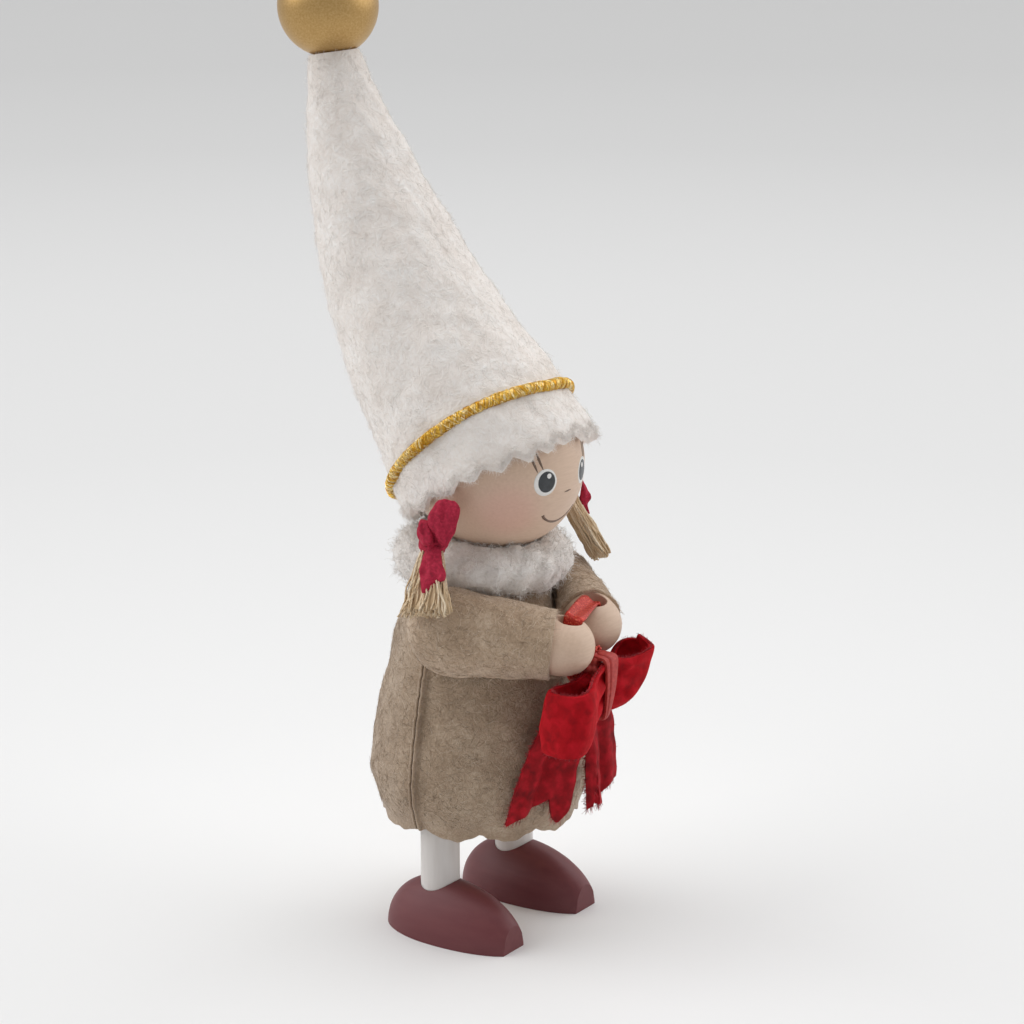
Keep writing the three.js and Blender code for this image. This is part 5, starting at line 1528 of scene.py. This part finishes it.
# %% Hair and ties
PIGTAILS = {
    "right": ((-14.9, -1.1, -5.6), (-17, -0.1, -10), (-22, -2.4, -19.6)),
    "left": ((14.9, -2.4, -5.2), (14.6, -4.8, -10), (17.3, -8.5, -18.2)),
}
TIE_WINGS = {
    "right": [
        [(2, 8.1), (3.7, 8.2), (5.5, 7.3), (5.6, 5.9), (4.9, 3.1)]
        + [(3.3, 0.3), (2, 0.6), (0.6, 2.3), (0.2, 5)],
        [(0, 0.8), (2, 0.5), (2.9, -1), (4.8, -3.8), (3.6, -4.9), (2.2, -6.3), (1.4, -5.7), (-0.1, -2.4)],
        [(-1.3, 4.2), (0.2, 4.5), (0.9, 3.1), (1.2, 0.7), (-0.6, 0.3), (-1.6, 2.3)],
    ],
    "left": [
        [(0.2, 4.5), (0.9, 3.1), (1.7, 1.4), (1.1, 0), (1.5, -1.6), (0.3, -1.2), (-0.5, 0.3), (-0.2, 2.1)],
    ],
}
TIE_KNOT_RADIUS = {"right": 2.1, "left": 1.0}
BRUSHED_OUT = {"right": (4.6, 1.7), "left": (2.8, 1.4)}
CORDS = 150
FIBRES_PER_CORD = 4
FIBRE_OFF_MIDDLE = 0.13
CORD_TURN = 3.0
HAIR_CORE_SHARE = 0.78
HAIR_CORE_TONE = 0.3
TIE_FACING = {"right": -75, "left": -54}
TIE_THICKNESS = 0.8
TIE_OUT = 1.6
TIE_LOWER_LEAN = 0.62
TIE_KNOT_FLATNESS = 0.75
PAD_SHARES = np.array([0.03, 0.3, 0.55, 0.75, 0.9, 1.0])


def bundle(root, knot, end, brushed_out, steps=24):
    """The middle line, its two cross ways scaled by the half sizes, and how far below the knot."""
    line = smooth_line([root, knot, end], steps)
    along = unit(np.gradient(line, axis=0))
    depth_way = unit((line - HEAD) * (1, 1, 0))
    depth_way = unit(depth_way - (depth_way * along).sum(1, keepdims=True) * along)
    width_way = np.cross(along, depth_way)
    knot_share = np.linalg.norm(knot - root) / (np.linalg.norm(knot - root) + np.linalg.norm(end - knot))
    share = np.linspace(0, 1, steps)[:, None]
    lower = np.clip((share - knot_share) / (1 - knot_share), 0, 1)
    neck = 1.2 + 0.2 * np.clip(share / knot_share, 0, 1)
    width = neck + (brushed_out[0] - neck) * lower**0.8
    depth = neck + (brushed_out[1] - neck) * lower
    return line, width_way * width, depth_way * depth, lower


def flax_cords(parts, reach_mm, dice, count):
    """Middle lines of the twisted cords, each with its own place in the bundle from top to end."""
    line, wide, deep, lower = parts
    turn = 2.4 * np.arange(count) + dice.uniform(0, 0.4, count)
    out = np.sqrt((np.arange(count) + 0.5) / count)
    run = np.linspace(0, 1, len(line))
    waves = []
    for _ in range(2):
        slow = np.sin(run * dice.uniform(5, 11, (count, 1)) + dice.uniform(0, 6, (count, 1)))
        quick = np.sin(run * dice.uniform(14, 26, (count, 1)) + dice.uniform(0, 6, (count, 1)))
        waves.append((0.1 * slow + 0.04 * quick)[..., None] * (0.3 + lower))
    a, b = ((out * way(turn))[:, None, None] + wave for way, wave in zip((np.cos, np.sin), waves))
    longer = dice.uniform(-0.6, 0.35, (count, 1, 1)) * lower
    along = unit(line[-1] - line[-2])
    return line + a * wide + b * deep + longer * reach_mm * 0.1 * along


def twisted(cords, dice, fibres, radius, turn_mm):
    """Fibres wound round each cord's middle line."""
    along = unit(np.gradient(cords, axis=1))
    side = unit(np.cross(along, ASKEW))
    rear = np.cross(along, side)
    run = np.linalg.norm(np.diff(cords, axis=1), axis=2).cumsum(1)
    run = np.concatenate([np.zeros((len(cords), 1)), run], 1)
    start = dice.uniform(0, 2 * pi, (len(cords), 1))
    lines = []
    for fibre_number in range(fibres):
        spin = 2 * pi * (run / turn_mm + fibre_number / fibres) + start
        away = radius * (0.75 + 0.25 * np.sin(spin * 0.31 + fibre_number))
        sideways = (away * np.cos(spin))[..., None] * side
        backwards = (away * np.sin(spin))[..., None] * rear
        lines.append(cords + sideways + backwards)
    return np.concatenate(lines)


def crumpled_pad(outline, origin, facing, up, thickness, seed):
    """A puffed pad of cloth from an outline in a plane that rises along up."""
    outline = np.array(outline)
    rim = smooth_line(np.vstack([outline, outline[:1]]), 49)[:-1]
    middle = rim.mean(0)
    a = radians(facing)
    ahead, out = np.array([cos(a), sin(a), 0]), np.array([sin(a), -cos(a), 0])
    rings = []
    for way in (1, -1):
        for share in PAD_SHARES if way > 0 else PAD_SHARES[::-1][1:]:
            flat = middle + (rim - middle) * share
            puff = way * thickness * (1 - share**3) ** 0.5
            ring = origin + flat[:, :1] * ahead + flat[:, 1:] * up + puff * out
            rings.append(ring)
    rings = np.array(rings)
    creased = lumps(rings, 0.32, 2.2, seed)[..., None] * out
    return rings + (creased + lumps(rings, 0.15, 1.4, seed + 1)[..., None] * Z)


for number, (name, offsets) in enumerate(PIGTAILS.items()):
    root, knot, end = (HEAD + offset for offset in offsets)
    body = f"{name}_pigtail"
    dice = np.random.default_rng(101 + number)
    parts = bundle(root, knot, end, BRUSHED_OUT[name])
    cords = flax_cords(parts, np.linalg.norm(end - knot), dice, CORDS)
    lines = twisted(cords, dice, FIBRES_PER_CORD, FIBRE_OFF_MIDDLE, CORD_TURN)
    shades = np.tile(dice.uniform(0.25, 0.8, CORDS), FIBRES_PER_CORD)
    tones = np.clip(shades + 0.12 * dice.normal(size=FIBRES_PER_CORD * CORDS), 0, 1)
    section = np.linspace(0, 2 * pi, 20, endpoint=False)[:, None]
    inner = [
        middle + HAIR_CORE_SHARE * (wide * np.cos(section) + deep * np.sin(section))
        for middle, wide, deep in zip(*parts[:3])
    ]
    hair_core = new_piece(f"{name}_flax_core", lofted(inner[:-1]), flax, body, "flax_hair")
    set_tone(hair_core, np.full(len(hair_core.data.vertices), HAIR_CORE_TONE))
    hair = f"{name}_pigtail_hair"
    strands(f"{name}_flax_cords", lines, 0.1, flax, body, "flax_hair", tones, hair, tip=0.8)
    from_head = unit((knot - HEAD) * (1, 1, 0))
    front = knot + TIE_OUT * from_head
    for wing, (level, points) in enumerate(zip(("upper", "lower", "side"), TIE_WINGS[name])):
        up = Z - TIE_LOWER_LEAN * from_head if level == "lower" else Z
        seed = 103 + 2 * wing + number
        pad = crumpled_pad(points, front, TIE_FACING[name], up, TIE_THICKNESS, seed)
        nodes = [f"{name}_pigtail_tie"] if wing == 0 else []
        tie = new_piece(f"{name}_tie_{level}_end", lofted(pad), tie_cotton, body, "tie_cloth", *nodes)
        subdivided(tie)
    size = (TIE_KNOT_RADIUS[name], TIE_KNOT_FLATNESS * TIE_KNOT_RADIUS[name])
    lumpy_knot(f"{name}_tie_knot", knot, Z, size, (18, 32), (0.22, 107), tie_cotton, body, "tie_cloth")

# %% [markdown]
# ## What lies inside
# Body core, neck peg, wires and wadding stay as the CAD model has them. They hardly show, but each is
# what it would be in the real figure.

# %% Inner parts
INNER = {
    "body_core": bare_wood,
    "neck_peg": bare_wood,
    "arm_wire": wire_steel,
    "hat_wire": wire_steel,
    "hat_wadding": wadding,
}
for name, material in INNER.items():
    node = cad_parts[name]
    node.data.materials.clear()
    node.data.materials.append(material)
    print("inner part", name)

# %% [markdown]
# ## Floor and light
# The figure stands on a seamless pale sheet. Its colour is painted lighter round the figure and darker far
# behind it: painted light and painted shade for how the studio light falls off with distance. Three broad
# lamps light it: one overhead, and one from either side. A dim sky fills the shadows. The camera, mirrors
# and clear things see the sky in the sheet's far tone, so that no horizon shows.

# %% Floor
FLOOR_HALF = 6.0
FLOOR_FALLOFF_REACH = 2.5

# Shares of that reach, and the floor's painted colour there: painted light near the figure, painted shade
# farther off
FLOOR_PAINTED_FALLOFF = [(0.0, "#f0f0f0"), (0.04, "#e5e5e5"), (0.13, "#d8d8d8"), (0.22, "#d3d3d3")]
FLOOR_PAINTED_FALLOFF += [(0.39, "#c3c3c3"), (0.56, "#bbbbbb"), (0.8, "#b8b8b8")]
floor_paper = new_material("pale_paper", Roughness=0.85)
place = add(floor_paper, "TexCoord").outputs["Object"]
away = add(floor_paper, "VectorMath", {0: place}, operation="LENGTH")
share = add(floor_paper, "MapRange", {"Value": away.outputs["Value"], "From Max": FLOOR_FALLOFF_REACH})
colour = add(floor_paper, "ValToRGB", {"Fac": share.outputs["Result"]}, stops=FLOOR_PAINTED_FALLOFF)
grain = add(floor_paper, "TexNoise", {"Vector": place, "Scale": 400.0, "Detail": 3})
bump = add(floor_paper, "Bump", {"Height": grain.outputs["Fac"], "Strength": 0.05, "Distance": 0.0002})
finish_with(floor_paper, Base_Color=colour.outputs["Color"], Normal=bump.outputs["Normal"])
half = FLOOR_HALF
floor_mesh = bpy.data.meshes.new("floor")
corners = [(-half, -half, 0), (half, -half, 0), (half, half, 0), (-half, half, 0)]
floor_mesh.from_pydata(corners, [], [(0, 1, 2, 3)])
floor_mesh.materials.append(floor_paper)
floor = bpy.data.objects.new("floor", floor_mesh)
bpy.context.collection.objects.link(floor)

# %% Lamps and sky
SKY_FILL = 0.22
SKY_SEEN = "#cacaca"
world = bpy.context.scene.world or bpy.data.worlds.new("studio")
bpy.context.scene.world = world
world.use_nodes = True
background = world.node_tree.nodes["Background"]
background.inputs["Color"].default_value = linear("#ffffff")
background.inputs["Strength"].default_value = SKY_FILL
sky = world.node_tree
seen = sky.nodes.new("ShaderNodeBackground")
seen.inputs["Color"].default_value = linear(SKY_SEEN)
from_camera = sky.nodes.new("ShaderNodeLightPath")
chosen = sky.nodes.new("ShaderNodeMixShader")
either = from_camera.outputs["Is Camera Ray"]
for ray in ("Is Glossy Ray", "Is Transmission Ray"):
    larger = sky.nodes.new("ShaderNodeMath")
    larger.operation = "MAXIMUM"
    sky.links.new(either, larger.inputs[0])
    sky.links.new(from_camera.outputs[ray], larger.inputs[1])
    either = larger.outputs[0]
sky.links.new(either, chosen.inputs[0])
sky.links.new(background.outputs[0], chosen.inputs[1])
sky.links.new(seen.outputs[0], chosen.inputs[2])
sky.links.new(chosen.outputs[0], sky.nodes["World Output"].inputs["Surface"])


def broad_light(name, place, width_degrees, strength):
    """A lamp so far and so large that it lights floor and figure evenly, with soft shadows."""
    lamp = bpy.data.lights.new(name, "SUN")
    lamp.angle = radians(width_degrees)
    lamp.energy = strength
    thing = bpy.data.objects.new(name, lamp)
    thing.location = place
    towards = -unit(np.array(place, float))
    pitch = np.arccos(-towards[2])
    thing.rotation_euler = (pitch, 0, np.arctan2(-towards[0], towards[1]))
    bpy.context.collection.objects.link(thing)


broad_light("overhead_light", (0.2, 0.15, 1.1), 80, 1.6)
broad_light("left_light", (-0.6, 0.8, 0.7), 60, 1.3)
broad_light("right_light", (0.75, -0.7, 0.55), 70, 1.2)
print("lamps set")
